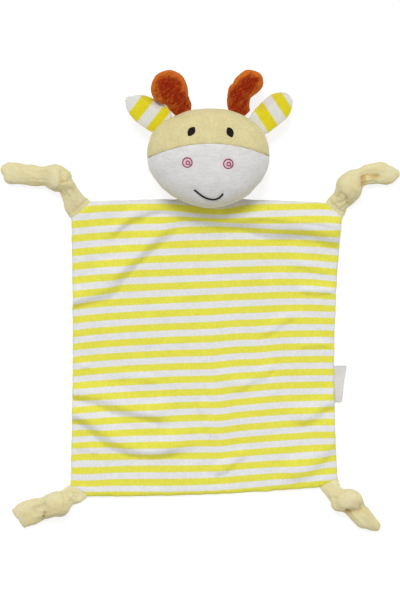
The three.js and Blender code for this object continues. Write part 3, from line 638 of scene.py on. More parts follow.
def blanket_plan():
    """Rows of points over the blanket, from the bottom edge up, closer together at its edges."""
    high_left, high_right, low_left, low_right = SEAMS.values()
    cut = [0, 0.02, 0.06, 0.12, 0.2, 0.3, 0.4, 0.5, 0.6, 0.7, 0.8, 0.9]
    # The two lower corner seams, the two sides and the two upper corner seams: how far up, the left and right
    # edge's ends, how far they bow out, and the height that they start at and cover, in 19ths of the blanket
    runs = [(cut, low_left["start"], low_left["finish"], low_right["finish"], low_right["start"], 0, 0, 2),
            (np.linspace(0, 1, 205)[:-1], low_left["finish"], high_left["start"], low_right["start"],
             high_right["finish"], 4, 2, 15),
            ([0] + [1 - v for v in cut[::-1]], high_left["start"], high_left["finish"], high_right["finish"],
             high_right["start"], 0, 17, 2)]
    edge = np.array([0, 0.25, 0.7, 1.3, 2.0, 2.8, 3.8, 5.0]) / BLANKET_WIDTH
    shares = np.concatenate([edge[:-1], np.linspace(edge[-1], 1 - edge[-1], 185), 1 - edge[:-1][::-1]])
    rows = []
    for climb, left_low, left_high, right_low, right_high, bows, base, covers in runs:
        for t in climb:
            bow, height = bows * t * (1 - t), (base + covers * t) / 19
            left = lerp(left_low, left_high, t) - np.array([bow * LEFT_BOW, 0])
            right = lerp(right_low, right_high, t) + np.array([bow * RIGHT_BOW, 0])
            row = left[None] + (right - left)[None] * shares[:, None]
            row[:, 1] += 4 * shares * (1 - shares) * (TOP_BOW * height ** 3 - BOTTOM_BOW * (1 - height) ** 3)
            rows.append(row)
    return np.array(rows)


def fold_height(x, y, crest, height, ahead, behind):
    """How high a fold stands at each place; its crest wanders in height and reach."""
    distance, side, along = to_line(x, y, smooth_line(crest))
    wave = np.sin(9 * along + crest[0][1]) + 0.6 * np.sin(21 * along + crest[0][0])
    reach = np.where(side > 0, ahead, behind) * (1 + 0.16 * np.sin(13 * along + crest[1][0]))
    return height * fade_ends(along, 5) * (1 + 0.13 * wave) * swell(distance, reach)


def stripe_phase(x, y):
    """How many stripes above a point, as the cloth lies: a smooth drift, and bends at the folds."""
    u, v = (x - 5) / 115, (y + 44) / 125
    phase = (10.7895 - 10.4702 * v + 0.2802 * v ** 2 - 0.1688 * v ** 3 - 0.1711 * v ** 4
             + u * (0.5193 - 0.1906 * v - 0.2671 * v ** 2 - 0.0055 * v ** 3)
             + u ** 2 * (0.1313 - 0.3158 * v + 0.2136 * v ** 2) + u ** 3 * (-0.0189 + 0.0277 * v)
             - 0.2373 * u ** 4)
    for crest, _, _, behind, taken in MAIN_FOLDS:
        if taken:
            distance, side, along = to_line(x, y, smooth_line(crest))
            steep = distance * side + behind * 0.55
            phase = phase - taken * fade_ends(along, 5) * np.tanh(steep / 4) * np.exp(-np.abs(steep) / 16)
    for (px, py), (wide, tall), more in BENDS:
        phase = phase + more * np.exp(-((x - px) / wide) ** 2 - ((y - py) / tall) ** 2)
    return phase


def blanket():
    """Two layers of striped velour, sewn together round their edge, with the folds that they lie in."""
    plan = blanket_plan()
    x, y = plan[..., 0], plan[..., 1]
    rim = np.concatenate([plan[0], plan[1:, -1], plan[-1, ::-1][1:], plan[::-1, 0][1:-1]])
    steps = run(rim)
    nearest, around = np.zeros(x.shape), np.zeros(x.shape)
    for r, row in enumerate(plan):
        gap = np.linalg.norm(row[:, None] - rim[None], axis=2)
        nearest[r], around[r] = gap.min(1), steps[gap.argmin(1)]
    # What both layers do, kept low where the chin comes down as the head nods
    from_neck = np.hypot((x - NECK[0]) / 40, (y - NECK[1]) / 24)
    folds = [fold_height(x, y, *fold[:4]) for fold in MAIN_FOLDS]
    shared = np.maximum.reduce(folds + [2.2 * swell(from_neck, 1)]) + 0.3 * (1 + ripple(plan, 75, 3))
    room = 3.6 + 0.0077 * (x - NECK[0]) ** 2 + 0.5 * np.maximum(0, 73 - y) - 0.35 * np.maximum(0, y - 84)
    shared = -0.7 * np.logaddexp(-shared / 0.7, -room / 0.7)
    # What the front layer does by itself
    fine = sum(fold_height(x, y, *fold) for fold in FINE_FOLDS)
    fine = fine + 0.28 * ripple(plan, 26, 5, 2) + 0.1 * ripple(plan, 9, 6)
    inside = ease(nearest / 9)
    # The edge: rolled over the seam allowance, with a low band beside it and tucks along it
    tucks = ripple(np.stack([around, around * 0.37], -1), 7.5, 8)
    apart = 0.08
    roll = apart + (LAYERS / 2 - apart) * round_off(1 - np.clip(nearest / 2.7, 0, 1))
    band = 0.35 * swell(nearest - 5, 4) + 0.22 * tucks * swell(nearest - 3, 6)
    front_z = shared + LAYERS / 2 + roll + fine * inside + band * ease(nearest / 2)
    back_z = shared + LAYERS / 2 - roll + 0.15 * (1 + ripple(plan, 30, 9)) * inside
    flat = plan - unit(plan - np.array(BLANKET_CENTRE)) * (0.22 * tucks * (1 - ease(nearest / 6)))[..., None]
    stripe = {"stripe": stripe_phase(x, y)}
    front = np.concatenate([flat, front_z[..., None]], -1)
    back = np.concatenate([flat, np.maximum(back_z, 0.02)[..., None]], -1)
    top = shell("cloth_front", front, CLOTH, STRIPED, stripe, (0, 0, 1))
    under = shell("cloth_back", back, CLOTH, STRIPED, stripe, (0, 0, -1))
    keep(top, "blanket", ["front_panel", "edge_seam"])
    keep(under, "blanket", ["back_panel"])


blanket()

# Head, measured from its middle


def head_radius(angle, plan=FACE_PLAN):
    a, b = HEAD_HALF
    ellipse = a * b / np.hypot(b * np.cos(angle), a * np.sin(angle))
    factors, count = np.array(plan), len(plan)
    place = (angle / (2 * math.pi) * count) % count
    start = np.floor(place).astype(int) % count
    return ellipse * lerp(factors[start], factors[(start + 1) % count], ease(place - np.floor(place)))


def head_share(x, y):
    """How far out towards the head's outline a place is."""
    return np.hypot(x, y) / head_radius(np.arctan2(y, x))


def brow(x):
    """Seam across the face."""
    return 12.3 - 10.8 * ((x - 1.5) / 52) ** 2


def reach_to_edge(centre, angles, outside):
    """How far it is from a centre to the edge of a region, in each direction."""
    def beyond(reach):
        return outside(centre[0] + np.cos(angles) * reach, centre[1] + np.sin(angles) * reach)
    steps = np.arange(0, 90, 0.25)
    first = beyond(steps[:, None]).argmax(0)
    low, high = steps[first - 1], steps[first]
    for _ in range(24):
        half = (low + high) / 2
        gone = beyond(half)
        low, high = np.where(gone, low, half), np.where(gone, half, high)
    return low


def brow_corner(side):
    """Where the seam across the face meets the head's outline, left (-1) or right (1)."""
    x = side * np.linspace(30, 60, 3001)
    x = x[head_share(x, brow(x)) < 1][-1]
    return x, float(brow(x))


CORNERS = [brow_corner(-1), brow_corner(1)]


def spaced(centre, counts):
    """Angles round a centre, evenly spaced above and below the corners of the face's seam."""
    left, right = (math.atan2(y - centre[1], x - centre[0]) % (2 * math.pi) for x, y in CORNERS)
    above = (left - right) % (2 * math.pi)
    return np.concatenate([right + above * np.arange(counts[0]) / counts[0],
                           left + (2 * math.pi - above) * np.arange(counts[1]) / counts[1]])


SMILE = smooth_line([(-12.8, -29.1), (-4.3, -35.4), (3.4, -37.6), (8.9, -36.3), (12.9, -32.4)], 14)
EYES = {"eye_left": ((-15.5, 23.1), 61), "eye_right": ((19.1, 22.4), 116)}
NOSTRILS = {"nostril_left": (-19.1, -4.7), "nostril_right": (17.5, -5.9)}


PANEL_RINGS = 64
SEAM_GAP = 0.06


def from_spot(x, y, spot):
    return np.hypot(x - spot[0], y - spot[1])


def head_panel(name, centre, counts, outside, side, material, seed):
    """One sewn panel of the head: a shell that swells between its seams and turns in at them."""
    angles = spaced(centre, counts)
    reach = reach_to_edge(centre, angles, outside) * quarter_sine(PANEL_RINGS + 1)[1:, None]
    x, y = centre[0] + np.cos(angles)[None] * reach, centre[1] + np.sin(angles)[None] * reach
    depth, fullness = HEAD_FORM[side]
    z = side * depth * (1 - np.minimum(1.0, head_share(x, y)) ** fullness) ** (1 / fullness)
    field = np.stack([x, y, z], -1)
    lengths = np.linalg.norm(np.diff(field, axis=0), axis=2)
    inward = np.concatenate([np.cumsum(lengths[::-1], axis=0)[::-1], np.zeros((1, len(angles)))])
    along = np.cumsum(np.linalg.norm(np.roll(field[-1], -1, 0) - field[-1], axis=1))
    puckers = ripple(np.stack([along, along * 0.21], -1), 6.0, seed)[None]
    # Turned in at the seam, swelling beside it, puckered along it, and uneven all over
    move = (-0.6 * np.maximum(0, 1 - inward / 2.2) ** 2 + 0.8 * (1 - np.exp(-inward / 12)) * ease(inward / 5)
            + 0.42 * puckers * np.exp(-inward / 5) * ease(inward / 1.5)
            + 0.35 * ripple(field, 30, seed + 1) * ease(inward / 12)
            + 0.10 * ripple(field, 8, seed + 2) * ease(inward / 5))
    if side > 0:
        # Drawn in under the embroidery
        move = move - 0.55 * bell(to_line(x, y, SMILE)[0], 2.2)
        for spot in NOSTRILS.values():
            move = move - 0.45 * bell(np.abs(from_spot(x, y, spot) - 2.6), 2.2)
        for spot, _ in EYES.values():
            move = move - 0.7 * bell(from_spot(x, y, spot), 4.5)
    field = field + field_normals(field, wrap=True) * move[..., None] + HEAD
    field[..., 2] = np.maximum(field[..., 2], 0.05)
    layers = {}
    if material is WHITE:
        layers["blush"] = sum(0.8 * np.exp(-(from_spot(x, y, spot) / 4.6) ** 4) for spot in NOSTRILS.values())
        # Painted shade, yellowish, on the lower rim of the face where it bends down over the blanket
        layers["painted_chin_shade"] = ease((head_share(x, y) - 0.8) / 0.24) * ease((-y - 10) / 25)
    piece = shell(name, field, CLOTH, material, layers)
    keep(piece, "head", [name + "_panel"], ("blanket", *NAPE) if side < 0 else None)
    return piece


def head_stuffing():
    angles = circle(120)
    rings = []
    for climb in np.linspace(math.pi / 2, -math.pi / 2, 41)[1:-1]:
        depth, fullness = HEAD_FORM[1 if climb > 0 else -1]
        inset = lerp(3.4, 5.4, ease(-climb * 2))
        out = (head_radius(angles) - inset) * math.cos(climb) ** (2 / fullness)
        rise = (depth - inset) * fuller(math.sin(climb), 2 / fullness)
        rings.append(np.stack([np.cos(angles) * out, np.sin(angles) * out, np.full(len(angles), rise)], -1))
    field = np.array(rings) + HEAD
    field = field + (0.25 * ripple(field, 9, 31))[..., None]
    keep(make("head_filling", *over_rings([field]), FIBRE), "head", ["head_stuffing"])


def face_tree(pieces):
    """The outer and inner skins of pieces, to be met by rays, in millimetres."""
    points, faces = [], []
    for piece in pieces:
        start = len(points)
        points += [v.co / MM for v in piece.data.vertices]
        faces += [[start + v for v in p.vertices] for p in piece.data.polygons]
    return BVHTree.FromPolygons(points, faces)


muzzle = head_panel("head_muzzle", (1, -12), (150, 260),
                    lambda x, y: (head_share(x, y) >= 1) | (y >= brow(x) - SEAM_GAP), 1, WHITE, 41)
forehead = head_panel("head_forehead", (3, 37), (210, 200),
                      lambda x, y: (head_share(x, y) >= 1) | (y <= brow(x) + SEAM_GAP), 1, CREAM, 51)
head_panel("head_back", (0, 0), (200, 200), lambda x, y: head_share(x, y) >= 1, -1, CREAM, 61)
head_stuffing()
FACE = face_tree([muzzle, forehead])


def on_face(points, lift):
    """Points of the face's surface over places, lifted off it."""
    found = []
    for x, y in points:
        hit, normal, _, _ = FACE.ray_cast(Vector((HEAD[0] + x, HEAD[1] + y, 120)), Vector((0, 0, -1)))
        found.append(np.array(hit) + np.array(normal) * lift)
    return np.array(found)


def eye(name, middle, angle):
    """Satin stitches laid side by side across a pointed oval, over a low pad."""
    along, across = heading(angle), heading(angle - 90)
    length, width, count = 9.3, 5.9, 27
    draw = np.random.RandomState(7 if name == "eye_left" else 8)
    places = np.linspace(-1, 1, 9)
    runs = []
    for k in range(count):
        t = (k + 0.5) / count * 2 - 1
        half = width / 2 * (1 - abs(t) ** 1.9) ** 0.8 + 0.12
        jitter = draw.uniform(-0.12, 0.12, 2)
        line = [np.array(middle) + along * (t * length / 2 + 0.25 * s) + across * (s * half + jitter[0])
                for s in places]
        path = on_face(line, 0.1)
        path[:, 2] += 0.75 * (1 - places ** 4) * (1 - abs(t) ** 4)
        runs.append((path, 0.26))
    return threads(name + "_stitches", runs, BLACK)


def stitched(points, lift, length, radius, lean=0.0):
    """Short stitches in a row along a line on the face, each dipping into the cloth at its ends."""
    points = np.asarray(points, float)
    steps = run(points)
    count = max(2, round(steps[-1] / length))
    t = np.linspace(-1, 1, 9)
    runs = []
    for k in range(count):
        shares = np.linspace(k / count - 0.04 / count, (k + 1) / count + 0.04 / count, 9) * steps[-1]
        shares = np.clip(shares, 0, steps[-1])
        line = np.stack([np.interp(shares, steps, points[:, 0]), np.interp(shares, steps, points[:, 1])], -1)
        ahead = unit(line[-1] - line[0])
        path = on_face(line + np.array([-ahead[1], ahead[0]]) * (lean * t)[:, None], lift)
        path[:, 2] += 0.3 * (1 - t ** 4) - 0.25
        runs.append((path, radius * (0.75 + 0.25 * (1 - t ** 6))))
    return runs


def arc(middle, radius, first, last, count):
    turn = np.radians(np.linspace(first, last, count))
    return np.array(middle) + radius * np.stack([np.cos(turn), np.sin(turn)], -1)


def nostril(name, middle):
    """A ring of small stitches with a smaller ring inside, joined by a short tail."""
    outer = arc(middle, 4.2, -50, 300, 60)
    inner = arc((middle[0] + 0.4, middle[1] - 0.2), 1.6, -50, 290, 40)
    tail = smooth_line([inner[0], (middle[0] + 2.6, middle[1] - 2.2), outer[0]], 8)
    runs = (stitched(outer, 0.12, 1.7, 0.5, 0.16) + stitched(inner, 0.12, 1.3, 0.45, 0.12)
            + stitched(tail, 0.12, 1.4, 0.45))
    return threads(name + "_stitches", runs, PINK, lumps=0.12, twist=5.0)


for name, (middle, angle) in EYES.items():
    keep(eye(name, middle, angle), "head", [name])
for name, middle in NOSTRILS.items():
    keep(nostril(name, middle), "head", [name])
mouth = threads("smile", stitched(SMILE, 0.15, 3.1, 0.84, 0.1), BLACK, sides=10, lumps=0.1, twist=4.0)
keep(mouth, "head", ["mouth"])

# Horns and ears

# Each horn: its place on the head's rim, its direction and its sizes. A row of the outline is a share of the
# length, and there the half width and the shift to the side as shares of the width
HORNS = {
    "horn_left": dict(
        place=118.4, out=110.6, length=37.2, width=34, thick=19,
        outline=[(0, 0.285, -0.025), (0.2, 0.365, -0.065), (0.38, 0.46, -0.125), (0.57, 0.485, -0.14),
                 (0.77, 0.435, -0.13), (0.93, 0.27, -0.12), (1, 0, -0.12)]),
    "horn_right": dict(
        place=56.3, out=75.2, length=36.0, width=28, thick=17,
        outline=[(0, 0.385, -0.055), (0.25, 0.4, -0.12), (0.42, 0.46, -0.09), (0.56, 0.48, -0.01),
                 (0.7, 0.475, 0.045), (0.86, 0.375, 0.095), (0.95, 0.25, 0.09), (1, 0, 0.06)]),
}
# Each ear: the same, with the edges of its yellow bands from the root, how much they lean, the side that is
# tucked under a horn, and the widths on either side
EARS = {
    "ear_left": dict(
        place=143.4, out=142.3, length=35.5, width=27, bands=(-3.4, 4.4, 14.7, 25.3), tilt=0.0, tuck=1,
        sides=[(0, 0.53, 0.46), (0.25, 0.52, 0.48), (0.48, 0.465, 0.48), (0.7, 0.36, 0.41),
               (0.89, 0.15, 0.28), (1, -0.06, 0.07)]),
    "ear_right": dict(
        place=33, out=38.5, length=36.0, width=29, bands=(1.6, 11.9, 22.0, 30.8), tilt=0.09, tuck=-1,
        sides=[(0, 0.37, 0.44), (0.22, 0.376, 0.48), (0.45, 0.372, 0.51), (0.63, 0.36, 0.515),
               (0.83, 0.235, 0.42), (0.94, 0.11, 0.3), (1, -0.08, 0.1)]),
}


def read_table(table, shares, column):
    """Value of a table [share, value, ...] at shares, on a smooth line through its rows."""
    table = np.array(table, float)
    x, y = table[:, 0], table[:, column]
    row = np.clip(np.searchsorted(x, shares, side="right") - 1, 0, len(x) - 2)
    wide = x[row + 1] - x[row]
    t = (shares - x[row]) / wide
    slopes = np.concatenate([[(y[1] - y[0]) / (x[1] - x[0])], (y[2:] - y[:-2]) / (x[2:] - x[:-2]),
                             [(y[-1] - y[-2]) / (x[-1] - x[-2])]])
    m0, m1 = slopes[row] * wide, slopes[row + 1] * wide
    p0, p1 = y[row], y[row + 1]
    return p0 + m0 * t + (3 * (p1 - p0) - 2 * m0 - m1) * t ** 2 + (m0 + m1 - 2 * (p1 - p0)) * t ** 3


def rim_seat(shape, half, clear):
    """Middle of the root of something sewn into the head's rim, and its directions."""
    angle = math.radians(shape["place"])
    base = heading(shape["place"]) * head_radius(np.array(angle), SEAT_PLAN)
    out, side = heading(shape["out"]), heading(shape["out"] - 90)
    turns = np.radians(np.arange(0, 360, 1.0))
    rim = np.stack([np.cos(turns), np.sin(turns)], -1) * head_radius(turns, SEAT_PLAN)[:, None] - base
    close = np.abs(rim @ side) <= half
    root = base + out * ((rim @ out)[close].max() + clear)
    return HEAD + np.append(root, 0), np.append(out, 0), np.append(side, 0)


def from_root(inward, length, before, count):
    """Shares of a length from inside the head to the tip: all, those past the root, and those before it."""
    ends = np.concatenate([np.linspace(-inward / length, 0, before)[:-1], quarter_sine(count)])
    return ends, np.clip(ends, 0, 1), np.minimum(ends, 0)


def horn(name, shape):
    """Stuffed horn of rust velour, with a seam down each side, set into the head's seam."""
    length, width, table = shape["length"], shape["width"], shape["outline"]
    root, out, side = rim_seat(shape, table[0][1] * width, 3.3)
    ends, shares, hidden = from_root(6.0, length, 8, 62)
    tip = np.clip((shares - 0.93) / 0.07, 0, 1)
    half = width * np.maximum(0, read_table(table, np.minimum(shares, 0.93), 1)) * round_off(tip)
    thick = lerp(4.5, shape["thick"] / 2, ease(shares * 1.7)) * round_off(shares, 6)
    half, thick = np.maximum(half * (1 + hidden * 2.0), 0.15), np.maximum(thick * (1 + hidden * 3.0), 0.15)
    turn = circle(96)
    c, s = np.cos(turn), np.sin(turn)
    centre = root + out * (ends * length)[:, None] + side * (width * read_table(table, shares, 2))[:, None]
    rings = (centre[:, None] + side * (half[:, None] * fuller(c))[..., None]
             + UP * (thick[:, None] * fuller(s))[..., None])
    normal = field_normals(rings, wrap=True)
    normal = normal * np.sign(((rings - centre[:, None]) * normal).sum(-1).mean())
    # Drawn in and puckered at the seams, gathered at the root, uneven further out
    seam = np.abs(s)[None] * np.maximum(thick, 1)[:, None]
    path = (shares * length)[:, None] + 0 * seam
    past_root = ease(shares * 4)[:, None]
    move = (-0.7 * bell(seam, 1.2) * ease(shares * 8)[:, None]
            + 0.3 * ripple(np.stack([path, path * 0.3], -1), 5, 71) * np.exp(-seam / 4)
            + 0.45 * ripple(rings, 14, 72) * past_root
            + 0.35 * np.sin(turn * 9 + 1.3) * (1 - past_root))
    rings = rings + normal * move[..., None]
    piece = make(name + "_velour", *over_rings([rings[:, ::-1]]), RUST)
    remeshed(piece, voxel=0.9, soften=3)
    settled(piece, growth=0.03, pressure=3.0, held=(points_of(piece) - root) @ out < 1.5, cap=1.0)
    # Painted sheen: the more the cloth faces sideways, the more orange, more so towards the tip
    edges = neighbours_mean(piece, 1 - np.abs(points_of(piece, "normal")[:, 2:3]) ** 4, 6)[:, 0]
    note(piece.data, "rim", edges * lerp(0.55, 1.2, ease((points_of(piece) - root) @ out / length * 1.25)))
    piece.data.materials.append(RUST)
    keep(piece, name, [name + "_cover"], ("head", root, root + out * 6))
    core = (centre[:, None] + (rings - centre[:, None]) * 0.8)[8:-14]
    keep(make(name + "_filling", *over_rings([core]), FIBRE), name, [name + "_stuffing"])


def ear(name, shape):
    """Two layers of velour, turned out and pressed, cupped a little and drooping to the tip."""
    length, width, table = shape["length"], shape["width"], shape["sides"]
    root, out, side = rim_seat(shape, 0.46 * width, 2.8)
    ends, shares, hidden = from_root(7, length, 7, 48)
    ahead, behind = (width * read_table(table, np.minimum(shares, 0.94), k) for k in (1, 2))
    tip = np.clip((shares - 0.94) / 0.06, 0, 1)
    half = np.maximum((ahead + behind) / 2 * round_off(tip), 0.1) * (1 + hidden * 1.2)
    slip = lerp((ahead - behind) / 2, width * (table[-1][1] - table[-1][2]) / 2, tip)
    centre = root + out * (ends * length)[:, None] + side * slip[:, None] - UP * (5 * shares ** 2)[:, None]
    place = np.sin(np.linspace(-math.pi / 2, math.pi / 2, 41))
    across = half[:, None] * place[None]
    puff = 2.3 * (1 - place ** 4)[None] * (round_off(shares, 6) * (1 + hidden))[:, None]
    cup = 1.6 * (place ** 2)[None] * (half / width)[:, None]
    beside = (slip[:, None] + across) * shape["tuck"]
    passed = (shares * length)[:, None]
    tucked = 7 * ease((beside - 5) / 9) * ease(passed / 10)
    edge = np.minimum((1 - np.abs(place))[None] * half[:, None], length - passed)
    tucks = ripple(np.stack([passed + 0 * edge, 0 * edge + 5 * np.sign(place)], -1), 5, 82)
    for facing, layer, material in ((1, "_front", EAR_STRIPED), (-1, "_back", CREAM)):
        field = centre[:, None] + side * across[..., None]
        field = field + UP * (facing * (puff + 0.12) + cup - tucked)[..., None]
        field[..., 2] += facing * 0.18 * ripple(field, 9, 81) * (1 - place ** 6)[None]
        field[..., 2] += facing * 0.25 * tucks * np.exp(-edge / 3) * ease(edge / 1.0)
        along = (field - root) @ out + shape["tilt"] * ((field - root) @ side)
        b = shape["bands"]
        stripe = np.interp(along, [-40, b[0] - 6, *b, b[3] + 8], [0.5, 0.5, 0.75, 1.25, 1.75, 2.25, 2.6])
        piece = shell(name + layer + "_velour", field, 1.0, material, {"stripe": stripe}, (0, 0, facing))
        keep(piece, name, [name + layer], ("head", root, root + out * 5))


for name, shape in HORNS.items():
    horn(name, shape)
for name, shape in EARS.items():
    ear(name, shape)

# Limbs

# Each limb from its seam to its tip: x, y, half width, half thickness and height of its middle
FORMS = {
    "arm_left": [
        (-104.6, 78.3, 11.5, 2.1, 2.5), (-106.9, 80.8, 11.5, 2.2, 2.5), (-108.9, 83.2, 11.2, 2.5, 2.7),
        (-111.9, 87.2, 10.8, 3.4, 3.6), (-113.9, 90.8, 9.7, 4.4, 4.6), (-116, 94.3, 8.5, 5.2, 5.5),
        (-117.9, 97.8, 7.7, 6, 6.6), (-120.1, 101.4, 7.6, 7.2, 8), (-123.2, 104.4, 9, 8.6, 9.3),
        (-127.4, 107.9, 11, 9.6, 10), (-131.8, 109.8, 11.4, 9.8, 10.1), (-136, 110.8, 10.2, 8.6, 9.2),
        (-140, 111.2, 9.3, 7, 7.6), (-145, 111.3, 9.8, 5.9, 6.2), (-150.5, 111.8, 10.3, 5.6, 5.8),
        (-158.5, 112.7, 10.1, 5.5, 5.6), (-166, 113.9, 10.5, 5.4, 5.5), (-169.8, 115.3, 9.4, 5.2, 5.3),
        (-173, 116.6, 7.4, 4.6, 4.8), (-176.2, 117.2, 4.4, 3.4, 4.2), (-178.6, 117.2, 1.6, 1.6, 3.8)],
    "arm_right": [
        (118.4, 78.5, 9.8, 2.1, 2.5), (120.6, 80.8, 9.8, 2.2, 2.5), (122.6, 84, 9.9, 2.8, 2.9),
        (125, 87.5, 9.7, 4.2, 4.3), (127.6, 90.5, 10, 6.2, 6.2), (130, 93.7, 10.5, 8.4, 8.4),
        (132.2, 97.1, 11.4, 10, 10), (133.9, 100.8, 11.9, 10.8, 10.8), (136.2, 104, 11.1, 10.6, 10.8),
        (139.1, 106.8, 10, 9.6, 10), (142.5, 108.8, 9.1, 7.9, 8.6), (145.9, 110.2, 8.8, 6.5, 7.4),
        (149.2, 111.6, 9.3, 6.3, 7.2), (153.1, 112.5, 9.8, 5.8, 6.4), (156.7, 113, 10, 5.6, 5.9),
        (160.5, 113.3, 10.1, 5.5, 5.7), (164.3, 113.2, 10.2, 5.3, 5.5), (167.7, 113, 9.6, 5, 5.2),
        (171.9, 113.4, 7.2, 4.2, 4.6), (176, 113.8, 4, 2.8, 4), (178.6, 113.6, 1.6, 1.2, 3.6)],
    "leg_left": [
        (-107.4, -169.4, 8.9, 2.1, 2.5), (-108.9, -172, 8.9, 2.2, 2.5), (-111.4, -173.5, 8.9, 2.6, 2.8),
        (-114.8, -175, 8.8, 3.4, 3.5), (-118.5, -177, 8.3, 4.8, 5), (-122, -179.4, 9.4, 7.2, 7.4),
        (-126.4, -181.6, 11, 9.4, 9.6), (-130.1, -183, 11.5, 10.2, 10.3), (-133.6, -184.8, 11.5, 9.8, 10.1),
        (-137.4, -186.5, 11.1, 8.4, 9), (-141.4, -187.6, 10.9, 6.8, 7.4), (-145.5, -188.6, 11.9, 5.6, 6),
        (-149.2, -189.8, 12.5, 5, 5.3), (-152.8, -191.2, 12.9, 4.7, 4.9), (-156.2, -193.2, 12.3, 4.5, 4.7),
        (-159, -195.3, 11.2, 4.2, 4.5), (-161.2, -196.8, 10.5, 3.8, 4.2), (-162.6, -197.7, 10.1, 3.4, 4)],
    "leg_right": [
        (114.2, -161.6, 9.1, 2.1, 2.5), (115.6, -164.3, 9.1, 2.2, 2.5), (116.7, -166.6, 8.8, 2.7, 2.8),
        (118, -169, 8.2, 3.4, 3.5), (119.5, -171.7, 7.5, 4.4, 4.6), (121.8, -174.8, 7.9, 6.4, 6.6),
        (124.8, -177.6, 9.2, 8.6, 8.8), (128.5, -179.8, 10.8, 10, 10.2), (132.7, -181.4, 11.2, 10.4, 10.4),
        (136.3, -183.6, 11, 9.6, 9.9), (138.8, -186.8, 10.6, 7.6, 8.2), (141.2, -190, 10, 6, 6.5),
        (143.8, -192.8, 10, 5.6, 6), (146.6, -195.4, 9.9, 5.3, 5.5), (149.8, -197.6, 8.9, 4.9, 5.1),
        (152.8, -199.6, 7.2, 4.4, 4.6), (156.2, -201.6, 5.6, 3.7, 4.2), (159.4, -203.4, 3.7, 2.6, 3.8),
        (161, -204.2, 2, 1.5, 3.5)],
}

# Soft wraps that stand out of each knot: middle, reach along a direction, across it and up, and the direction
WRAPS = {
    "arm_left": [((-129.3, 108.7), (8.4, 13.0, 10.4), 185), ((-122.2, 110.2), (7.0, 7.2, 8.8), 35)],
    "arm_right": [((135.0, 101.6), (13.0, 11.2, 10.8), 62)],
    "leg_left": [((-127.2, -184.0), (11.6, 12.0, 10.3), 207)],
    "leg_right": [((137.2, -178.4), (7.8, 7.2, 7.4), 20), ((125.0, -182.6), (8.2, 8.0, 8.6), 20)],
}

# Creases of each limb: line in the plan, depth and width
CREASES = {
    "arm_left": [
        ([(-124.6, 117), (-123.6, 112), (-123.4, 106.9), (-122.6, 102.5)], 1.5, 2.3),
        ([(-134.6, 115), (-137.6, 110), (-137.8, 106), (-135, 100.5)], 0.85, 2.7),
        ([(-132, 98), (-127.5, 99.2), (-123.7, 103)], 1.1, 1.8),
        ([(-126, 104.5), (-120.5, 105.6), (-116.6, 107.4)], 1.1, 1.7),
        ([(-120, 101), (-115.1, 98.4), (-106.8, 88.5)], 0.68, 1.5),
        ([(-121, 97), (-118.6, 92), (-117, 86)], 0.59, 1.35),
        ([(-167, 108.4), (-156, 107), (-143.5, 106)], 0.68, 2.7),
        ([(-158.4, 117.7), (-150, 116.4), (-141.5, 114)], 0.51, 2.4)],
    "arm_right": [
        ([(144.5, 109.5), (148, 111.4), (152, 111.4), (158, 110.6), (163, 109.4)], 2.6, 2.4),
        ([(147, 115.4), (156, 114.2), (167, 114.5)], 0.68, 2.1),
        ([(146.6, 111), (146.8, 106), (146.6, 101)], 1.7, 1.9),
        ([(150, 108), (156, 106.4), (162, 105.8)], 0.59, 2.1),
        ([(124.5, 96.8), (128, 94.4), (131, 91.2), (132.6, 86.5), (134.5, 83.4)], 1.9, 1.6),
        ([(119.5, 93.2), (124, 92.4), (128.5, 92.4)], 0.77, 1.35),
        ([(122, 86), (126, 87.3), (130.2, 88.6)], 0.85, 1.35),
        ([(126.5, 80.6), (128.4, 84), (131.4, 86.5)], 0.59, 1.35)],
    "leg_left": [
        ([(-137.5, -183.6), (-145, -186.2), (-151, -192)], 1.2, 3.4),
        ([(-139.6, -190), (-140.2, -195), (-141, -201.5)], 2.2, 1.5),
        ([(-125.4, -171), (-121.6, -177), (-119.6, -184), (-117, -188)], 1.27, 1.8),
        ([(-119.4, -181), (-114.5, -179.6), (-109, -176.6)], 0.59, 1.5),
        ([(-136.6, -174), (-131, -173.6), (-125.5, -174.4)], 0.42, 2.1)],
    "leg_right": [
        ([(129, -191.8), (136.2, -190), (142.8, -189.6), (145.6, -185.6), (149, -182.8)], 1.4, 2.6),
        ([(119, -180), (125, -186.5), (133.5, -190), (140, -193.5)], 0.77, 2.4),
        ([(134.4, -172.5), (137, -179), (138.6, -186)], 0.7, 2.8),
        ([(117.6, -177), (120.4, -178.4), (123, -177)], 1.1, 1.65),
        ([(128, -193.2), (130.8, -191.4), (133, -189)], 1.02, 1.65)],
}


def creased(place, normal, lines):
    """Press lines into the upper side: each is a plan line, its depth and its width."""
    facing_up = ease(normal[:, 2] * 1.4 + 0.5)
    out = place.copy()
    for line, depth, width in lines:
        distance, _, along = to_line(place[:, 0], place[:, 1], smooth_line(line))
        out = out - normal * (depth * bell(distance, width) * fade_ends(along, 4, 0.25) * facing_up)[:, None]
    return out


def wrap_rings(middle, reach, angle):
    """Rings of a soft ball."""
    out, side = np.append(heading(angle), 0), np.append(heading(angle - 90), 0)
    lat = np.linspace(math.pi / 2, -math.pi / 2, 25)[1:-1, None]
    turn = circle(48)
    return (np.array(middle) + out * (reach[0] * np.cos(lat) * np.cos(turn))[..., None]
            + side * (reach[1] * np.cos(lat) * np.sin(turn))[..., None]
            + UP * (reach[2] * np.sin(lat) + 0 * turn)[..., None])


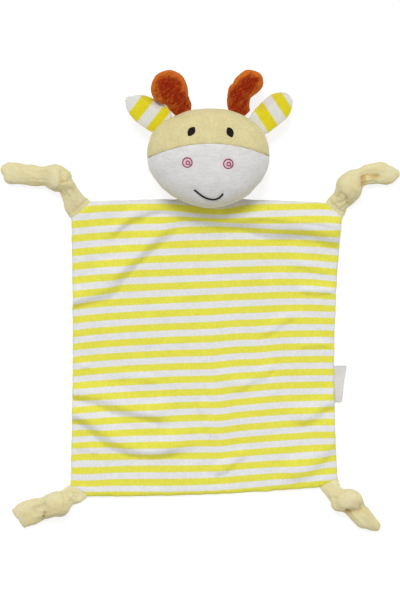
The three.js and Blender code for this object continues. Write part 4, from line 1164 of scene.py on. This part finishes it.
def limb_rings(name, form):
    """Rings along a limb, the first ones along its corner seam."""
    tangent = np.gradient(form[:, :2], axis=0)
    side = unit(np.stack([tangent[:, 1], -tangent[:, 0]], -1))
    seam = SEAMS[name]["along"]
    share = ease(np.arange(len(form)) / 14)[:, None]
    across = unit(lerp(seam * np.sign((seam * side[14]).sum()), side, share))
    turn = circle(64, 0.5)
    power = lerp(0.6, 0.92, ease(np.arange(len(form)) / 16))[:, None]
    x = (form[:, 2, None] + 0.4) * fuller(np.cos(turn), power)
    z = form[:, 3, None] * fuller(np.sin(turn), power) + form[:, 4, None]
    return np.concatenate([form[:, None, :2] + across[:, None] * x[..., None], z[..., None]], -1)


def cut(piece, name, point, direction, far):
    """The part of a piece before a plane, or the far one, with the cut closed."""
    form = bmesh.new()
    form.from_mesh(piece.data)
    bmesh.ops.bisect_plane(form, geom=form.verts[:] + form.edges[:] + form.faces[:], plane_co=point * MM,
                           plane_no=direction, clear_inner=far, clear_outer=not far)
    rim = [edge for edge in form.edges if edge.is_boundary]
    closed = bmesh.ops.holes_fill(form, edges=rim, sides=0)["faces"]
    for flat in rim + closed:
        flat.smooth = False
    mesh = bpy.data.meshes.new(name)
    form.to_mesh(mesh)
    form.free()
    mesh.materials.clear()
    mesh.materials.append(LIMB_CREAM)
    return placed(name, mesh)


def limb_pieces(name, limb):
    """One limb: a velour tube, its knot and its free end, formed together and parted in the knot's crease."""
    seam = SEAMS[name]
    form = smooth_line(FORMS[name], 4)
    wraps = [wrap_rings((x, y, reach[2] - 0.2), reach, angle) for (x, y), reach, angle in WRAPS[name]]
    whole = make(name + "_whole", *over_rings([limb_rings(name, form)] + wraps), LIMB_CREAM)
    remeshed(whole, voxel=0.8, soften=14)
    sewn = (points_of(whole)[:, :2] - form[5, :2]) @ seam["out"] < 3
    settled(whole, growth=0.05, pressure=4.0, held=sewn, cap=1.3)
    place, normal = points_of(whole), points_of(whole, "normal")
    distance, side, along = to_line(place[:, 0], place[:, 1], form[:, :2])
    lengths = run(form[:, :2])
    along = along * lengths[-1]
    turn = np.arctan2(place[:, 2] - np.interp(along, lengths, form[:, 4]), distance * side)
    angle, apart, height = limb["knot"]
    knot = np.append(seam["middle"] + heading(angle) * apart, height - 0.5)
    from_knot = np.hypot(place[:, 0] - knot[0], place[:, 1] - knot[1])
    # Gathers beside the knot and the seam, then unevenness of three sizes, then the creases
    gathers = np.sin(turn * 9 + 0.7) + 0.6 * np.sin(turn * 14 + 2.1)
    near_knot = ease((from_knot - 8) / 4) * ease((30 - from_knot) / 14)
    near_seam = ease((9 - along) / 6) * ease((along - 3) / 3)
    move = (gathers * (0.2 * near_knot + 0.1 * near_seam)
            + 0.38 * ripple(place, 11, 91) + 0.16 * ripple(place, 4.5, 92) + 0.09 * ripple(place, 2.5, 93))
    place = place + normal * (move * ease((along - 2) / 4))[:, None]
    move_points(whole, place)
    place = creased(place, points_of(whole, "normal"), CREASES[name])
    place[:, 2] = np.maximum(place[:, 2], 0.05)
    move_points(whole, place)
    note_crease_shade(whole)
    # The free end reaches into the knot, a little slimmer there
    beyond = np.append(heading(limb["end"]), 0)
    parting = knot + beyond * limb["parting"]
    near = cut(whole, name + "_velour_knotted", parting, beyond, False)
    end = cut(whole, name + "_velour_end", parting - beyond * 6, beyond, True)
    place = points_of(end)
    slimmer = 0.9 * ease((parting - place) @ beyond / 2)
    move_points(end, place - points_of(end, "normal") * slimmer[:, None])
    bpy.data.objects.remove(whole)
    root, out = np.append(seam["middle"] + seam["out"] * 2.8, 2.5), np.append(seam["out"], 0)
    sewn_in = ("blanket", root - out * 2.5, root + out * 5)
    keep(near, name, [name + "_sleeve", name + "_knot"], sewn_in)
    keep(end, name + "_end", [name + "_end"], (name, knot + beyond * 4, knot + beyond * 14))


for name, limb in LIMBS.items():
    limb_pieces(name, limb)

# Label and neck seam


def edge_at(y):
    """Right edge of the blanket at a height in the plan."""
    low, high = SEAMS["leg_right"]["start"], SEAMS["arm_right"]["finish"]
    share = (y - low[1]) / (high[1] - low[1])
    return lerp(low, high, share) + np.array([4 * share * (1 - share) * RIGHT_BOW, 0])


def label():
    """Folded ribbon sewn into the right edge, pressed flat, its fold a little open."""
    middle, length, fold = -75.5, 33.0, 0.6
    along = unit(edge_at(middle + length / 2) - edge_at(middle - length / 2))
    out = np.array([along[1], -along[0]])
    root = edge_at(middle) + out * 0.75
    share = np.linspace(0, 1, 50)[:, None]
    reach = lerp(5.9, 10.5, share) + 0.25 * np.sin(share * 9) - fold
    bulge = 0.45 + 0.12 * np.sin(share * 5 + 1)
    turn = np.linspace(-math.pi / 2, math.pi / 2, 13)[None, 1:-1]
    across = lerp(-2.5, reach, np.linspace(0, 1, 12)[None])
    rise = bulge * ease(across / 2 + 0.5)
    # Each row goes out along the lower layer, round the fold and back along the upper one
    r = np.concatenate([across, reach + fold * np.cos(turn), across[:, ::-1]], 1)
    z = np.concatenate([-rise, bulge * np.sin(turn), rise[:, ::-1]], 1)
    plan = (root + along * (share - 0.5) * length)[:, None] + out * r[..., None]
    height = 2.5 + 0.25 * np.sin(share * 6) + z - 0.06 * np.maximum(0, r)
    rings = np.concatenate([plan, height[..., None]], -1)
    piece = make("side_label", *over_rings([rings]), LABEL)
    keep(piece, "label", ["label"], ("blanket", np.append(root, 2.5), np.append(root + out * 2.5, 2.5)))


def neck_seam():
    """Closed seam between the blanket's top edge and the back of the head, drawn in by its stitches."""
    low, high = (np.array(corner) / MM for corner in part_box("neck_seam"))
    middle, count = (low + high) / 2, 60
    x, shares = np.linspace(low[0], high[0], count), np.linspace(-1, 1, count)
    radius = 1.5 * (1 - 0.35 * np.abs(shares) ** 6) * (1 + 0.12 * np.sin(x * 1.9))
    centres = np.stack([x, np.full(count, middle[1]), np.full(count, middle[2])], -1)
    keep(make("neck_roll", *over_rings([thread_rings(centres, radius, 32)]), CREAM), "blanket", ["neck_seam"])


label()
neck_seam()

# Stage, light and camera


def grey(value):
    return (value, value, value, 1)


def floor():
    """Pale floor: the camera sees it brighter than it lights the object, with the object's shadow on it."""
    material = bpy.data.materials.new("floor")
    s = Nodes(material)
    s.tree.nodes.remove(s.tree.nodes["Principled BSDF"])
    matte = s.add("BsdfDiffuse", {"Color": grey(0.8)}).outputs[0]
    pale = s.add("BsdfDiffuse", {"Color": grey(0.34)}).outputs[0]
    glow = s.add("Emission", {"Color": grey(1), "Strength": 0.78}).outputs[0]
    both = s.add("AddShader", {0: pale, 1: glow}).outputs[0]
    seen = s.add("LightPath").outputs["Is Camera Ray"]
    pick = s.add("MixShader", {0: seen, 1: matte, 2: both}).outputs[0]
    s.fill(s.tree.nodes["Material Output"].inputs["Surface"], pick)
    mesh = bpy.data.meshes.new("floor")
    size, below = 4.0, -0.0002
    corners = [(-size, -size, below), (size, -size, below), (size, size, below), (-size, size, below)]
    mesh.from_pydata(corners, [], [(0, 1, 2, 3)])
    mesh.materials.append(material)
    placed("floor", mesh)


def world():
    """White where the camera or a reflection sees it, and a weaker light for the object."""
    sky = bpy.data.worlds.new("studio")
    s = Nodes(sky)
    bpy.context.scene.world = sky
    rays = s.add("LightPath").outputs
    seen = s.calc("MAXIMUM", rays["Is Camera Ray"], rays["Is Glossy Ray"])
    strength = s.add("MapRange", {"Value": seen, "To Min": 0.42, "To Max": 1.0}).outputs[0]
    inputs = s.tree.nodes["Background"].inputs
    s.fill(inputs["Color"], grey(1))
    s.fill(inputs["Strength"], strength)


def lamp(name, direction, strength, angle):
    data = bpy.data.lights.new(name, "SUN")
    data.energy, data.angle = strength, math.radians(angle)
    placed(name, data).rotation_euler = Vector(direction).to_track_quat("Z", "Y").to_euler()


floor()
world()
lamp("key", (-0.1, 0.55, 1.0), 1.57, 24)
lamp("fill_right", (1.0, 0.12, 0.55), 0.4, 60)
lamp("fill_left", (-1.0, 0.12, 0.55), 0.25, 60)

# Straight above, 8 m away, so that a picture pixel is 0.9 mm
data = bpy.data.cameras.new("camera")
data.lens, data.sensor_width, data.clip_end = 533.33, 36, 20
camera = placed("camera", data)
camera.location = (0, 0, 8)
bpy.context.scene.camera = camera
bpy.context.scene.view_settings.view_transform = "Standard"
